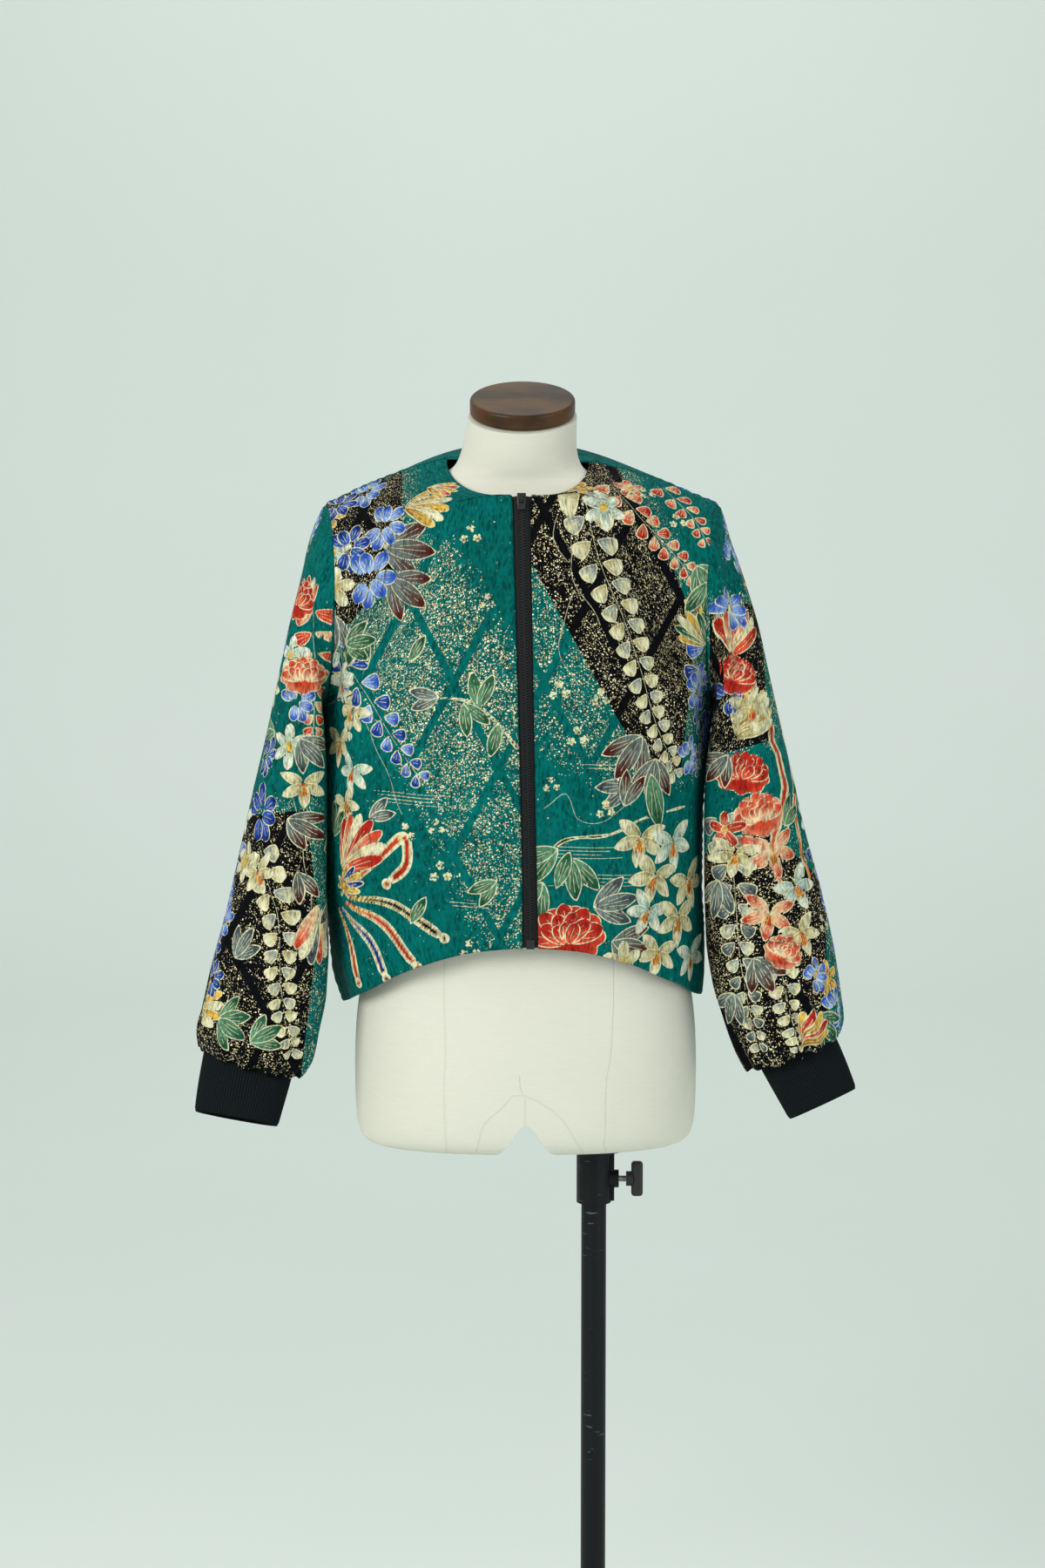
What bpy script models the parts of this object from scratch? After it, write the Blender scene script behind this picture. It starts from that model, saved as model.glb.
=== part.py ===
"""Collarless zip jacket of printed crepe, dressed on a limbless dress form with a pole stand.

Metres, +Z up. The jacket faces -Y, and +X is the wearer's left, which is the right of a front view.
The origin is on the floor under the form's middle plane, on the underside of the base plate.
"""
import math

import bmesh
import bpy
import numpy as np
from mathutils import Matrix, Vector

MM = 0.001
FIT = 0.3 * MM  # what two pieces that touch keep between them
RUNNING = 0.45 * MM  # the pole's clearance in the clamp sleeve and the socket

# The stand
POLE_X = 0.067
POLE_R = 12.25 * MM
POLE_TOP_Z = 1.02
BASE_R = 0.21
BASE_THICK = 8 * MM
SOCKET_R = 22 * MM
SOCKET_TOP_Z = 55 * MM
SLEEVE_R = 17 * MM
SLEEVE_LOW_Z = 0.617
FLANGE_R = 30 * MM
FLANGE_THICK = 10 * MM
CLAMP_Z = 0.640
BOSS_R = 8.85 * MM
BOSS_END_X = POLE_X + 24.4 * MM
RIB_WIDE = 7.6 * MM
RIB_OUT = 3 * MM
SCREW_R = 3 * MM
SCREW_END_X = POLE_X + 31.4 * MM
KNOB_HUB_R = 7.3 * MM
KNOB_HUB_LONG = 6.5 * MM
WING_TALL = 34.6 * MM
WING_THICK = 10 * MM
WING_LONG = 11.4 * MM

# The form
FORM_BOTTOM_Z = 0.680
FORM_SIDES = 28
SECTION_POWER = 2.3  # above 2, an ellipse's sides fill out
BORE_TOP_Z = 1.165
NOTCH_WIDE = 70 * MM
NOTCH_TALL = 35 * MM
NOTCH_STEPS = 7
CAP_R = 50.5 * MM
CAP_THICK = 16 * MM
CAP_TOP = Vector((-0.003, 0.0, 1.402))
CAP_TILT = math.radians(18.5)

FORM_COLUMNS = ("z", "middle_x", "half", "front", "back", "slope")
FORM = (
    (0.6800, 0.000, 0.1490, 0.0740, 0.0840, 0.000),
    (0.6835, 0.000, 0.1560, 0.0840, 0.0930, 0.000),
    (0.6900, 0.000, 0.1615, 0.0915, 0.1000, 0.000),
    (0.7020, 0.000, 0.1645, 0.0970, 0.1060, 0.000),
    (0.7220, 0.000, 0.1660, 0.1005, 0.1100, 0.000),
    (0.7550, 0.000, 0.1665, 0.1030, 0.1120, 0.000),
    (0.7900, 0.000, 0.1655, 0.1040, 0.1110, 0.000),
    (0.8250, 0.000, 0.1620, 0.1040, 0.1080, 0.000),
    (0.8600, 0.000, 0.1530, 0.1010, 0.1020, 0.000),
    (0.9000, 0.000, 0.1410, 0.0950, 0.0930, 0.000),
    (0.9450, -0.001, 0.1270, 0.0870, 0.0820, 0.000),
    (1.0000, -0.002, 0.1150, 0.0800, 0.0720, 0.000),
    (1.0550, -0.003, 0.1180, 0.0870, 0.0790, 0.000),
    (1.1000, -0.003, 0.1270, 0.1000, 0.0870, 0.000),
    (1.1400, -0.003, 0.1350, 0.1120, 0.0920, 0.000),
    (1.1750, -0.003, 0.1430, 0.1120, 0.0960, 0.000),
    (1.2100, -0.003, 0.1510, 0.1010, 0.0970, 0.000),
    (1.2450, -0.003, 0.1590, 0.0870, 0.0930, 0.000),
    (1.2720, -0.003, 0.1620, 0.0780, 0.0850, 0.000),
    (1.2900, -0.003, 0.1530, 0.0700, 0.0770, 0.000),
    (1.3050, -0.004, 0.1280, 0.0620, 0.0700, 0.000),
    (1.3182, -0.006, 0.0972, 0.0513, 0.0610, 0.000),
    (1.3290, -0.008, 0.0722, 0.0465, 0.0560, 0.020),
    (1.3390, -0.007, 0.0600, 0.0475, 0.0530, 0.060),
    (1.3540, -0.006, 0.0550, 0.0480, 0.0520, 0.150),
    (1.3846, -0.003, 0.0520, 0.0470, 0.0560, 0.335),
)

# The jacket: heights and the measures that both sides share
WALL = 1.8 * MM
SEAM = 0.2 * MM  # each side of a seam stands back by this
MERGE = 0.01 * MM  # points closer than this are one point
CENTRE_HEM_Z = 0.889
BACK_HEM_Z = 0.801
NECK_FRONT_Z = 1.3125
NECK_BACK_Z = 1.357
NECK_X = -0.0075
NECK_HALF = 0.068
NECK_SIDE_Y = 0.005
SIDE_SEAM_Y = 0.004
SHOULDER_RISE = 4.5 * MM
FULLNESS = 0.62  # how boxy the body's round is: 0.552 would be an ellipse
ROWS_BELOW = 9  # rows of each panel under the armhole
ROWS_ABOVE = 12  # rows of each panel along half an armhole
UNDERARM = 0.5  # where the side seam meets the armhole, from hem 0 to shoulder seam 1
NECK_FRONT = UNDERARM + (1 - UNDERARM) * 7 / ROWS_ABOVE
NECK_BACK = UNDERARM + (1 - UNDERARM) * 9 / ROWS_ABOVE
PANEL_COLUMNS = 9  # from a front's or the back's middle to its side

PROFILE_Z = (0.80, 0.889, 0.96, 1.03, 1.10, 1.15, 1.20, 1.25, 1.28, 1.3125, 1.34, 1.357)
PROFILE_FRONT = (0.123, 0.125, 0.126, 0.128, 0.130, 0.128, 0.120, 0.104, 0.093, 0.080, 0.072, 0.068)
PROFILE_BACK = (0.119, 0.112, 0.107, 0.106, 0.108, 0.109, 0.107, 0.100, 0.092, 0.079, 0.066, 0.058)
ZIP_Z = (0.80, 0.889, 1.00, 1.3125, 1.36)
ZIP_X = (0.0046, 0.0044, 0.0027, -0.0040, -0.0048)
ZIP_HALF = (0.0074, 0.0074, 0.0070, 0.0085, 0.0087)

# Each side of the jacket: sign of X, shoulder point, underarm, side hem and how far the armhole
# is scooped in. Distances are from the middle plane.
SIDES = {
    "right": dict(
        sign=-1, shoulder=0.192, shoulder_z=1.2995, underarm=0.196, underarm_z=1.107,
        hem_z=0.818, neck_side_z=1.344, scoop=0.0135,
        seam_z=(0.80, 0.818, 0.848, 0.89, 0.93, 1.00, 1.06, 1.107),
        seam_x=(0.175, 0.178, 0.187, 0.191, 0.1945, 0.195, 0.195, 0.196),
    ),
    "left": dict(
        sign=1, shoulder=0.185, shoulder_z=1.2995, underarm=0.182, underarm_z=1.109,
        hem_z=0.826, neck_side_z=1.3415, scoop=0.0125,
        seam_z=(0.80, 0.826, 0.850, 0.89, 0.93, 1.00, 1.06, 1.109),
        seam_x=(0.169, 0.1695, 0.1715, 0.173, 0.171, 0.1715, 0.176, 0.182),
    ),
}

# Each sleeve: a row is one girth of the sleeve. down runs from the armhole at 0 to the cuff seam
# at 1, swing is how far the outer side lies behind the inner one, set_in is how far the front and
# the back of the girth lie towards the body, and tuck how far its inner front wraps the body.
SLEEVE_COLUMNS = (
    "down", "outer_x", "outer_z", "inner_x", "inner_z", "middle_y", "swing", "front", "back", "set_in", "tuck"
)
SLEEVES = {
    "right": (
        (0.000, 0.1920, 1.2995, 0.1960, 1.107, 0.0040, 0.000, 0.070, 0.068, 0.0135, 0.0000),
        (0.050, 0.2020, 1.2830, 0.1998, 1.101, 0.0035, 0.000, 0.071, 0.069, 0.0100, 0.0010),
        (0.100, 0.2090, 1.2630, 0.2003, 1.094, 0.0020, 0.000, 0.071, 0.069, 0.0060, 0.0045),
        (0.180, 0.2165, 1.2300, 0.2003, 1.080, 0.0000, 0.000, 0.070, 0.068, 0.0020, 0.0130),
        (0.270, 0.2265, 1.1880, 0.1996, 1.058, -0.004, 0.000, 0.068, 0.067, 0.0000, 0.0210),
        (0.380, 0.2385, 1.1330, 0.1985, 1.025, -0.009, 0.002, 0.065, 0.065, 0.0000, 0.0240),
        (0.500, 0.2520, 1.0690, 0.1978, 0.981, -0.014, 0.004, 0.062, 0.062, 0.0000, 0.0230),
        (0.620, 0.2695, 0.9920, 0.1960, 0.930, -0.019, 0.006, 0.060, 0.060, 0.0000, 0.0220),
        (0.740, 0.2885, 0.9140, 0.1930, 0.878, -0.024, 0.008, 0.058, 0.058, 0.0000, 0.0220),
        (0.840, 0.3045, 0.8550, 0.1940, 0.835, -0.029, 0.010, 0.057, 0.057, 0.0000, 0.0180),
        (0.910, 0.3130, 0.8120, 0.2000, 0.797, -0.033, 0.012, 0.056, 0.056, 0.0000, 0.0100),
        (0.960, 0.3172, 0.7900, 0.2065, 0.768, -0.037, 0.014, 0.053, 0.053, 0.0000, 0.0040),
        (0.985, 0.3158, 0.7765, 0.2145, 0.754, -0.0385, 0.016, 0.042, 0.042, 0.0000, 0.0000),
    ),
    "left": (
        (0.000, 0.1850, 1.2995, 0.1820, 1.109, 0.0040, 0.000, 0.070, 0.068, 0.0125, 0.0000),
        (0.050, 0.1915, 1.2830, 0.1857, 1.103, 0.0035, 0.000, 0.071, 0.069, 0.0095, 0.0010),
        (0.100, 0.1975, 1.2650, 0.1864, 1.096, 0.0020, 0.000, 0.071, 0.069, 0.0060, 0.0045),
        (0.180, 0.2075, 1.2390, 0.1855, 1.082, 0.0000, 0.000, 0.070, 0.068, 0.0020, 0.0130),
        (0.270, 0.2200, 1.1970, 0.1825, 1.060, -0.004, 0.000, 0.068, 0.067, 0.0000, 0.0210),
        (0.380, 0.2340, 1.1380, 0.1795, 1.027, -0.009, 0.000, 0.065, 0.065, 0.0000, 0.0240),
        (0.500, 0.2500, 1.0700, 0.1772, 0.983, -0.014, 0.001, 0.062, 0.062, 0.0000, 0.0230),
        (0.620, 0.2680, 0.9920, 0.1766, 0.932, -0.019, 0.001, 0.060, 0.060, 0.0000, 0.0220),
        (0.740, 0.2870, 0.9230, 0.1775, 0.884, -0.024, 0.002, 0.058, 0.058, 0.0000, 0.0220),
        (0.840, 0.2985, 0.8700, 0.1830, 0.842, -0.029, 0.002, 0.057, 0.057, 0.0000, 0.0180),
        (0.910, 0.3040, 0.8300, 0.1915, 0.810, -0.033, 0.003, 0.056, 0.056, 0.0000, 0.0100),
        (0.960, 0.3064, 0.8060, 0.2010, 0.780, -0.037, 0.003, 0.055, 0.055, 0.0000, 0.0040),
        (0.985, 0.3030, 0.7920, 0.2110, 0.7585, -0.0390, 0.003, 0.047, 0.046, 0.0000, 0.0000),
    ),
}
RIDGE_DOWN = (0.0, 0.12, 0.30, 0.70, 0.92, 1.0)  # the soft crease down the front of each sleeve
RIDGE_RISE = (0.0, 0.020, 0.065, 0.070, 0.025, 0.0)
RIDGE_DEG = (90, 92, 96, 114, 118, 118)
RIDGE_WIDE_DEG = 30
GATHERS = 12
GATHER_DOWN = (0.0, 0.82, 0.90, 0.96, 0.985, 1.0)
GATHER_RISE = (0.0, 0.0, 0.022, 0.050, 0.055, 0.0)
GIRTHS = (0.0, 0.045, 0.10, 0.17, 0.25, 0.34, 0.43, 0.52, 0.61, 0.70, 0.78, 0.85)
GATHERED_GIRTHS = (0.90, 0.935, 0.96, 0.985, 1.0)
SLEEVE_POINTS = 2 * ROWS_ABOVE

# The cuffs: top centre, splay outwards, reach forwards and turn in plan, then the half sizes of the
# oval at its top and its mouth
CUFFS = {
    "right": dict(top=(-0.2663, -0.0385, 0.7740), splay=11, reach=16, turn=22, top_oval=(0.047, 0.0265), mouth=(0.043, 0.025)),
    "left": dict(top=(0.2588, -0.0390, 0.7840), splay=25, reach=11, turn=4, top_oval=(0.039, 0.033), mouth=(0.035, 0.032)),
}
CUFF_LONG = 66 * MM
CUFF_WALL = 2.2 * MM
RIB_COUNT = 48
RIB_RISE = 0.8 * MM

# The zip
TAPE_THICK = 1.0 * MM
TAPE_SET_BACK = 0.6 * MM
CHAIN_HALF = 3.2 * MM
CHAIN_THICK = 1.5 * MM
ZIP_STEPS = 18
BOX_WIDE = 7.5 * MM
BOX_TALL = 9 * MM
BOX_THICK = 2.0 * MM
SLIDER_Z = 1.3085
SLIDER_WIDE = 8.4 * MM
SLIDER_LONG = 12 * MM
SLIDER_THICK = 1.6 * MM
BRIDGE_WIDE = 2.2 * MM
BRIDGE_LONG = 7.0 * MM
BRIDGE_TALL = 3.2 * MM
BRIDGE_LEG = 1.2 * MM
PULL_WIDE = 7.0 * MM
PULL_LONG = 11.5 * MM
PULL_THICK = 1.2 * MM
PULL_SIDE = 1.4 * MM
PULL_WINDOW = 5.0 * MM
PULL_AXIS_OUT = 1.2 * MM  # the pull's hinge line above the slider's face

for stale in list(bpy.data.objects):
    bpy.data.objects.remove(stale)

parts = bpy.data.collections.new("kimono_jacket_on_form")
cutters = bpy.data.collections.new("cutters")
bpy.context.scene.collection.children.link(parts)
bpy.context.scene.collection.children.link(cutters)


def material(name, colour, roughness, metallic=0.0):
    made = bpy.data.materials.new(name)
    made.use_nodes = True
    shader = made.node_tree.nodes["Principled BSDF"]
    shader.inputs["Base Color"].default_value = (*colour, 1.0)
    shader.inputs["Roughness"].default_value = roughness
    shader.inputs["Metallic"].default_value = metallic
    return made


CREPE = material("printed_crepe", (0.010, 0.165, 0.125), 0.62)
RIB = material("black_rib", (0.010, 0.010, 0.012), 0.85)
TAPE = material("zip_tape", (0.012, 0.012, 0.014), 0.80)
ZIP_METAL = material("black_zip_metal", (0.020, 0.020, 0.023), 0.38, 0.7)
LINEN = material("linen_cover", (0.72, 0.70, 0.60), 0.90)
WOOD = material("stained_wood", (0.055, 0.026, 0.014), 0.35)
PAINTED = material("painted_steel", (0.014, 0.019, 0.022), 0.42, 0.3)
STEEL = material("bright_steel", (0.45, 0.45, 0.46), 0.32, 1.0)
PLASTIC = material("black_plastic", (0.012, 0.012, 0.013), 0.45)


def curve_through(at, places, values):
    """A smooth curve through a table's values that never overshoots them."""
    knots = np.asarray(places, float)
    heights = np.asarray(values, float)
    steps = np.diff(knots)
    slopes = np.diff(heights) / steps
    product = slopes[:-1] * slopes[1:]
    total = slopes[:-1] + slopes[1:]
    tangents = np.zeros(len(knots))
    tangents[1:-1] = np.where(product > 0, 2 * product / np.where(product > 0, total, 1.0), 0.0)
    tangents[0] = slopes[0]
    tangents[-1] = slopes[-1]
    i = np.clip(np.searchsorted(knots, at, side="right") - 1, 0, len(knots) - 2)
    x = np.clip((at - knots[i]) / steps[i], 0.0, 1.0)
    return (
        heights[i] * (1 + 2 * x) * (1 - x) ** 2
        + tangents[i] * steps[i] * x * (1 - x) ** 2
        + heights[i + 1] * x * x * (3 - 2 * x)
        + tangents[i + 1] * steps[i] * x * x * (x - 1)
    )


def ease(low, high, at):
    """0 below low, 1 above high and a smooth rise between."""
    x = np.clip((at - low) / (high - low), 0.0, 1.0)
    return x * x * (3 - 2 * x)


def add_object(name, mesh, finish, parent=None, collection=parts):
    mesh.materials.append(finish)
    made = bpy.data.objects.new(name, mesh)
    collection.objects.link(made)
    if parent is not None:
        made.parent = parent
        made.matrix_parent_inverse = Matrix.Translation(-parent.location)
    return made


def mesh_of(name, bm):
    mesh = bpy.data.meshes.new(name)
    bm.to_mesh(mesh)
    bm.free()
    return mesh


def axis_empty(name, place):
    empty = bpy.data.objects.new(name, None)
    empty.location = place
    empty.empty_display_size = 0.05
    parts.objects.link(empty)
    return empty


MAST_AXIS = axis_empty("mast_turn_axis", (POLE_X, 0.0, 0.0))
FORM_AXIS = axis_empty("height_slide_axis", (POLE_X, 0.0, FORM_BOTTOM_Z))
CLAMP_AXIS = axis_empty("clamp_turn_axis", (BOSS_END_X, 0.0, CLAMP_Z))


def drum(name, radius, low, high, finish, sides=32, along_x=False, parent=None, collection=parts, round_off=0.0):
    """A cylinder from low to high, upright at the pole's place or along X at the clamp's height."""
    bm = bmesh.new()
    bmesh.ops.create_cone(bm, cap_ends=True, segments=sides, radius1=radius, radius2=radius, depth=high - low)
    mesh = mesh_of(name, bm)
    mesh.shade_smooth()
    mesh.set_sharp_from_angle(angle=math.radians(35))
    made = add_object(name, mesh, finish, parent, collection)
    middle = (low + high) / 2
    if along_x:
        made.location = (middle, 0.0, CLAMP_Z)
        made.rotation_euler = (0.0, math.pi / 2, 0.0)
    else:
        made.location = (POLE_X, 0.0, middle)
    if round_off:
        rounding(made, round_off)
    return made


def rounding(made, width, segments=2):
    bevel = made.modifiers.new("rounded edges", "BEVEL")
    bevel.width = width
    bevel.segments = segments
    bevel.limit_method = "ANGLE"
    bevel.angle_limit = math.radians(50)


def block(name, size, finish, parent=None, collection=parts):
    bm = bmesh.new()
    bmesh.ops.create_cube(bm, size=1.0)
    bmesh.ops.scale(bm, vec=size, verts=bm.verts)
    return add_object(name, mesh_of(name, bm), finish, parent, collection)


def combine(made, other, operation):
    """Joins or cuts with another object, which stays in the cutters' collection."""
    other.hide_render = True
    other.display_type = "WIRE"
    boolean = made.modifiers.new(operation.lower(), "BOOLEAN")
    boolean.operation = operation
    boolean.solver = "EXACT"
    boolean.object = other


def build_stand():
    drum("base_plate", BASE_R, 0.0, BASE_THICK, PAINTED, sides=56, round_off=2 * MM)
    socket = drum("base_socket", SOCKET_R, BASE_THICK + FIT, SOCKET_TOP_Z, PAINTED, sides=28)
    bore = drum("socket_bore", POLE_R + RUNNING, 0.0, SOCKET_TOP_Z * 2, PAINTED, sides=28, collection=cutters)
    combine(socket, bore, "DIFFERENCE")
    drum("pole", POLE_R, BASE_THICK + FIT, POLE_TOP_Z, PAINTED, sides=28, parent=MAST_AXIS, round_off=1 * MM)


def build_clamp():
    top = FORM_BOTTOM_Z - FIT
    flange_low = top - FLANGE_THICK
    tube = drum("stand_sleeve", SLEEVE_R, SLEEVE_LOW_Z, flange_low + 1 * MM, PAINTED, sides=28, parent=FORM_AXIS)
    flange = drum("clamp_flange", FLANGE_R, flange_low, top, PAINTED, sides=36, collection=cutters)
    boss = drum("clamp_boss", BOSS_R, POLE_X + POLE_R, BOSS_END_X, PAINTED, 20, True, None, cutters)
    rib_tall = flange_low + 1 * MM - SLEEVE_LOW_Z - 2 * MM
    rib = block("clamp_rib", (RIB_OUT * 2, RIB_WIDE, rib_tall), PAINTED, None, cutters)
    rib.location = (POLE_X + SLEEVE_R, 0.0, flange_low - rib_tall / 2 + 0.5 * MM)
    for added in (flange, boss, rib):
        combine(tube, added, "UNION")
    bore = drum("sleeve_bore", POLE_R + RUNNING, SLEEVE_LOW_Z - 0.01, top + 0.01, PAINTED, 28, False, None, cutters)
    thread = drum("screw_bore", SCREW_R + FIT, POLE_X + 5 * MM, BOSS_END_X + 0.01, PAINTED, 16, True, None, cutters)
    for cut in (bore, thread):
        combine(tube, cut, "DIFFERENCE")
    drum("clamp_screw", SCREW_R, POLE_X + POLE_R + FIT, SCREW_END_X, STEEL, 16, True, CLAMP_AXIS)
    hub_low = SCREW_END_X + FIT
    knob = drum("clamp_knob", KNOB_HUB_R, hub_low, hub_low + KNOB_HUB_LONG, PLASTIC, 20, True, CLAMP_AXIS)
    wing = block("knob_wing", (WING_LONG, WING_THICK, WING_TALL), PLASTIC, None, cutters)
    wing.location = (hub_low + KNOB_HUB_LONG - 1.5 * MM + WING_LONG / 2, 0.0, CLAMP_Z)
    rounding(wing, 3.2 * MM, 3)
    combine(knob, wing, "UNION")


def form_ring(row):
    """One level section of the form, fuller than an ellipse below the neck."""
    r = dict(zip(FORM_COLUMNS, row))
    power = 2.0 + (SECTION_POWER - 2.0) * ease(1.345, 1.29, r["z"])
    ring = []
    for k in range(FORM_SIDES):
        angle = 2 * math.pi * k / FORM_SIDES
        c = math.cos(angle)
        s = math.sin(angle)
        depth = r["back"] if s > 0 else r["front"]
        x = r["middle_x"] + r["half"] * math.copysign(abs(c) ** (2 / power), c)
        y = depth * math.copysign(abs(s) ** (2 / power), s)
        ring.append((x, y, r["z"] + r["slope"] * y))
    return ring


def build_form():
    bm = bmesh.new()
    rings = [[bm.verts.new(p) for p in form_ring(row)] for row in FORM]
    for low, high in zip(rings[:-1], rings[1:]):
        for k in range(FORM_SIDES):
            j = (k + 1) % FORM_SIDES
            bm.faces.new((low[k], low[j], high[j], high[k]))
    bm.faces.new(list(reversed(rings[0])))
    bm.faces.new(rings[-1])
    mesh = mesh_of("form_torso", bm)
    mesh.shade_smooth()
    torso = add_object("form_torso", mesh, LINEN, FORM_AXIS)
    combine(torso, crotch_notch(), "DIFFERENCE")
    bore = drum("form_bore", POLE_R + 1.25 * MM, 0.6, BORE_TOP_Z, LINEN, 24, False, None, cutters)
    combine(torso, bore, "DIFFERENCE")
    cap = drum("neck_cap", CAP_R, -CAP_THICK, 0.0, WOOD, sides=40, parent=FORM_AXIS, round_off=3.5 * MM)
    axis = Vector((0.0, -math.sin(CAP_TILT), math.cos(CAP_TILT)))
    cap.location = CAP_TOP - axis * (CAP_THICK / 2)
    cap.rotation_euler = (CAP_TILT, 0.0, 0.0)


def crotch_notch():
    """The arch between the stumps of the legs, cut from front to back."""
    outline = []
    for k in range(-NOTCH_STEPS, NOTCH_STEPS + 1):
        across = k / NOTCH_STEPS
        rise = (0.5 + 0.5 * math.cos(math.pi * across)) ** 1.3
        outline.append((across * NOTCH_WIDE / 2, FORM_BOTTOM_Z + NOTCH_TALL * rise))
    outline.append((NOTCH_WIDE / 2, FORM_BOTTOM_Z - 0.02))
    outline.append((-NOTCH_WIDE / 2, FORM_BOTTOM_Z - 0.02))
    bm = bmesh.new()
    face = bm.faces.new([bm.verts.new((x, -0.2, z)) for x, z in outline])
    grown = bmesh.ops.extrude_face_region(bm, geom=[face])
    moved = [v for v in grown["geom"] if isinstance(v, bmesh.types.BMVert)]
    bmesh.ops.translate(bm, verts=moved, vec=(0.0, 0.4, 0.0))
    bmesh.ops.recalc_face_normals(bm, faces=bm.faces)
    return add_object("crotch_notch", mesh_of("crotch_notch", bm), LINEN, None, cutters)


def side_seam(side, z):
    """The side seam, at a height."""
    s = SIDES[side]
    return np.array((s["sign"] * curve_through(z, s["seam_z"], s["seam_x"]), SIDE_SEAM_Y, z))


def armhole(side, t, facing):
    """The armhole from the underarm, t 0, to the shoulder point, t 1. facing is -1 in front."""
    s = SIDES[side]
    rise = (1 - math.cos(math.pi * t)) / 2
    out = s["underarm"] + (s["shoulder"] - s["underarm"]) * rise - s["scoop"] * math.sin(math.pi * t)
    depth = 0.070 if facing < 0 else 0.068
    y = SIDE_SEAM_Y + facing * depth * math.sin(math.pi * t)
    z = s["underarm_z"] + (s["shoulder_z"] - s["underarm_z"]) * rise
    return np.array((s["sign"] * out, y, z))


def outer_edge(side, v, facing):
    """A panel's side seam and then its half of the armhole."""
    s = SIDES[side]
    if v >= UNDERARM:
        return armhole(side, (v - UNDERARM) / (1 - UNDERARM), facing)
    return side_seam(side, s["hem_z"] + (s["underarm_z"] - s["hem_z"]) * v / UNDERARM)


def front_centre_edge(side, v):
    """A front's zip edge and then its half of the neckline."""
    s = SIDES[side]
    if v <= NECK_FRONT:
        z = CENTRE_HEM_Z + (NECK_FRONT_Z - CENTRE_HEM_Z) * v / NECK_FRONT
        x = curve_through(z, ZIP_Z, ZIP_X) + s["sign"] * curve_through(z, ZIP_Z, ZIP_HALF)
        return np.array((x, -curve_through(z, PROFILE_Z, PROFILE_FRONT), z))
    start = front_centre_edge(side, NECK_FRONT)
    angle = math.pi / 2 * (v - NECK_FRONT) / (1 - NECK_FRONT)
    end_x = NECK_X + s["sign"] * NECK_HALF
    x = start[0] + (end_x - start[0]) * math.sin(angle)
    y = NECK_SIDE_Y + (start[1] - NECK_SIDE_Y) * math.cos(angle)
    z = NECK_FRONT_Z + (s["neck_side_z"] - NECK_FRONT_Z) * (1 - math.cos(angle)) ** 1.2
    return np.array((x, y, z))


def back_centre_edge(side, v):
    """The back's middle line and then its half of the neckline."""
    s = SIDES[side]
    if v <= NECK_BACK:
        z = BACK_HEM_Z + (NECK_BACK_Z - BACK_HEM_Z) * v / NECK_BACK
        return np.array((NECK_X, curve_through(z, PROFILE_Z, PROFILE_BACK), z))
    angle = math.pi / 2 * (v - NECK_BACK) / (1 - NECK_BACK)
    top_y = curve_through(NECK_BACK_Z, PROFILE_Z, PROFILE_BACK)
    x = NECK_X + s["sign"] * NECK_HALF * math.sin(angle)
    y = NECK_SIDE_Y + (top_y - NECK_SIDE_Y) * math.cos(angle)
    z = NECK_BACK_Z + (s["neck_side_z"] - NECK_BACK_Z) * (1 - math.cos(angle))
    return np.array((x, y, z))


def panel_point(side, u, v, facing):
    """A point of a front or of half the back: u from the centre to the side, v from hem to shoulder.

    Each row is one cubic from the centre edge, which it leaves square on, to the side seam, which
    it reaches from straight ahead. Above the underarm it turns by degrees into the shoulder seam.
    """
    inner = front_centre_edge(side, v) if facing < 0 else back_centre_edge(side, v)
    outer = outer_edge(side, v, facing)
    chord = outer - inner
    neck = NECK_FRONT if facing < 0 else NECK_BACK
    at_neck = float(ease(neck, 1.0, v))
    at_arm = float(ease(UNDERARM, 1.0, v))
    reach = FULLNESS + (1 / 3 - FULLNESS) * at_arm
    leave = reach * chord * np.array((1.0, at_neck, at_neck))
    reach_end = reach * chord * np.array((at_arm, 1.0, at_arm))
    a = (1 - u) ** 3
    b = 3 * u * (1 - u) ** 2
    c = 3 * u * u * (1 - u)
    point = (a + b) * inner + b * leave + (c + u ** 3) * outer - c * reach_end
    point[2] += SHOULDER_RISE * at_arm * 4 * u * (1 - u)
    return point + panel_fold(side, u, v, facing)


def panel_fold(side, u, v, facing):
    """Soft folds that hang from the underarm and open towards the hem."""
    hanging = (1 - float(ease(0.0, UNDERARM * 1.2, v))) * float(ease(0.30, 0.55, u)) * float(ease(1.0, 0.86, u))
    waves = 2 if facing < 0 else 3
    out = 4.5 * MM * hanging * math.sin(2 * math.pi * waves * u + (0.6 if side == "right" else 2.2))
    return np.array((0.0, facing * out, 0.0))


def row_at(table, columns, at):
    """A table's row at any place of its first column."""
    values = np.array(table)
    return {name: float(curve_through(at, values[:, 0], values[:, k])) for k, name in enumerate(columns)}


def cuff_frame(side):
    """The cuff's way down and the two half axes' directions, outwards and forwards."""
    cuff = CUFFS[side]
    sign = SIDES[side]["sign"]
    splay = math.radians(cuff["splay"])
    reach = math.radians(cuff["reach"])
    turn = math.radians(cuff["turn"])
    down = Vector((sign * math.sin(splay), -math.sin(reach), -math.cos(splay) * math.cos(reach))).normalized()
    out = Vector((sign * math.cos(turn), math.sin(turn), 0.0))
    out = (out - down * out.dot(down)).normalized()
    forward = down.cross(out) * sign
    if forward.y > 0:
        forward = -forward
    return np.array(down), np.array(out), np.array(forward)


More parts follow.
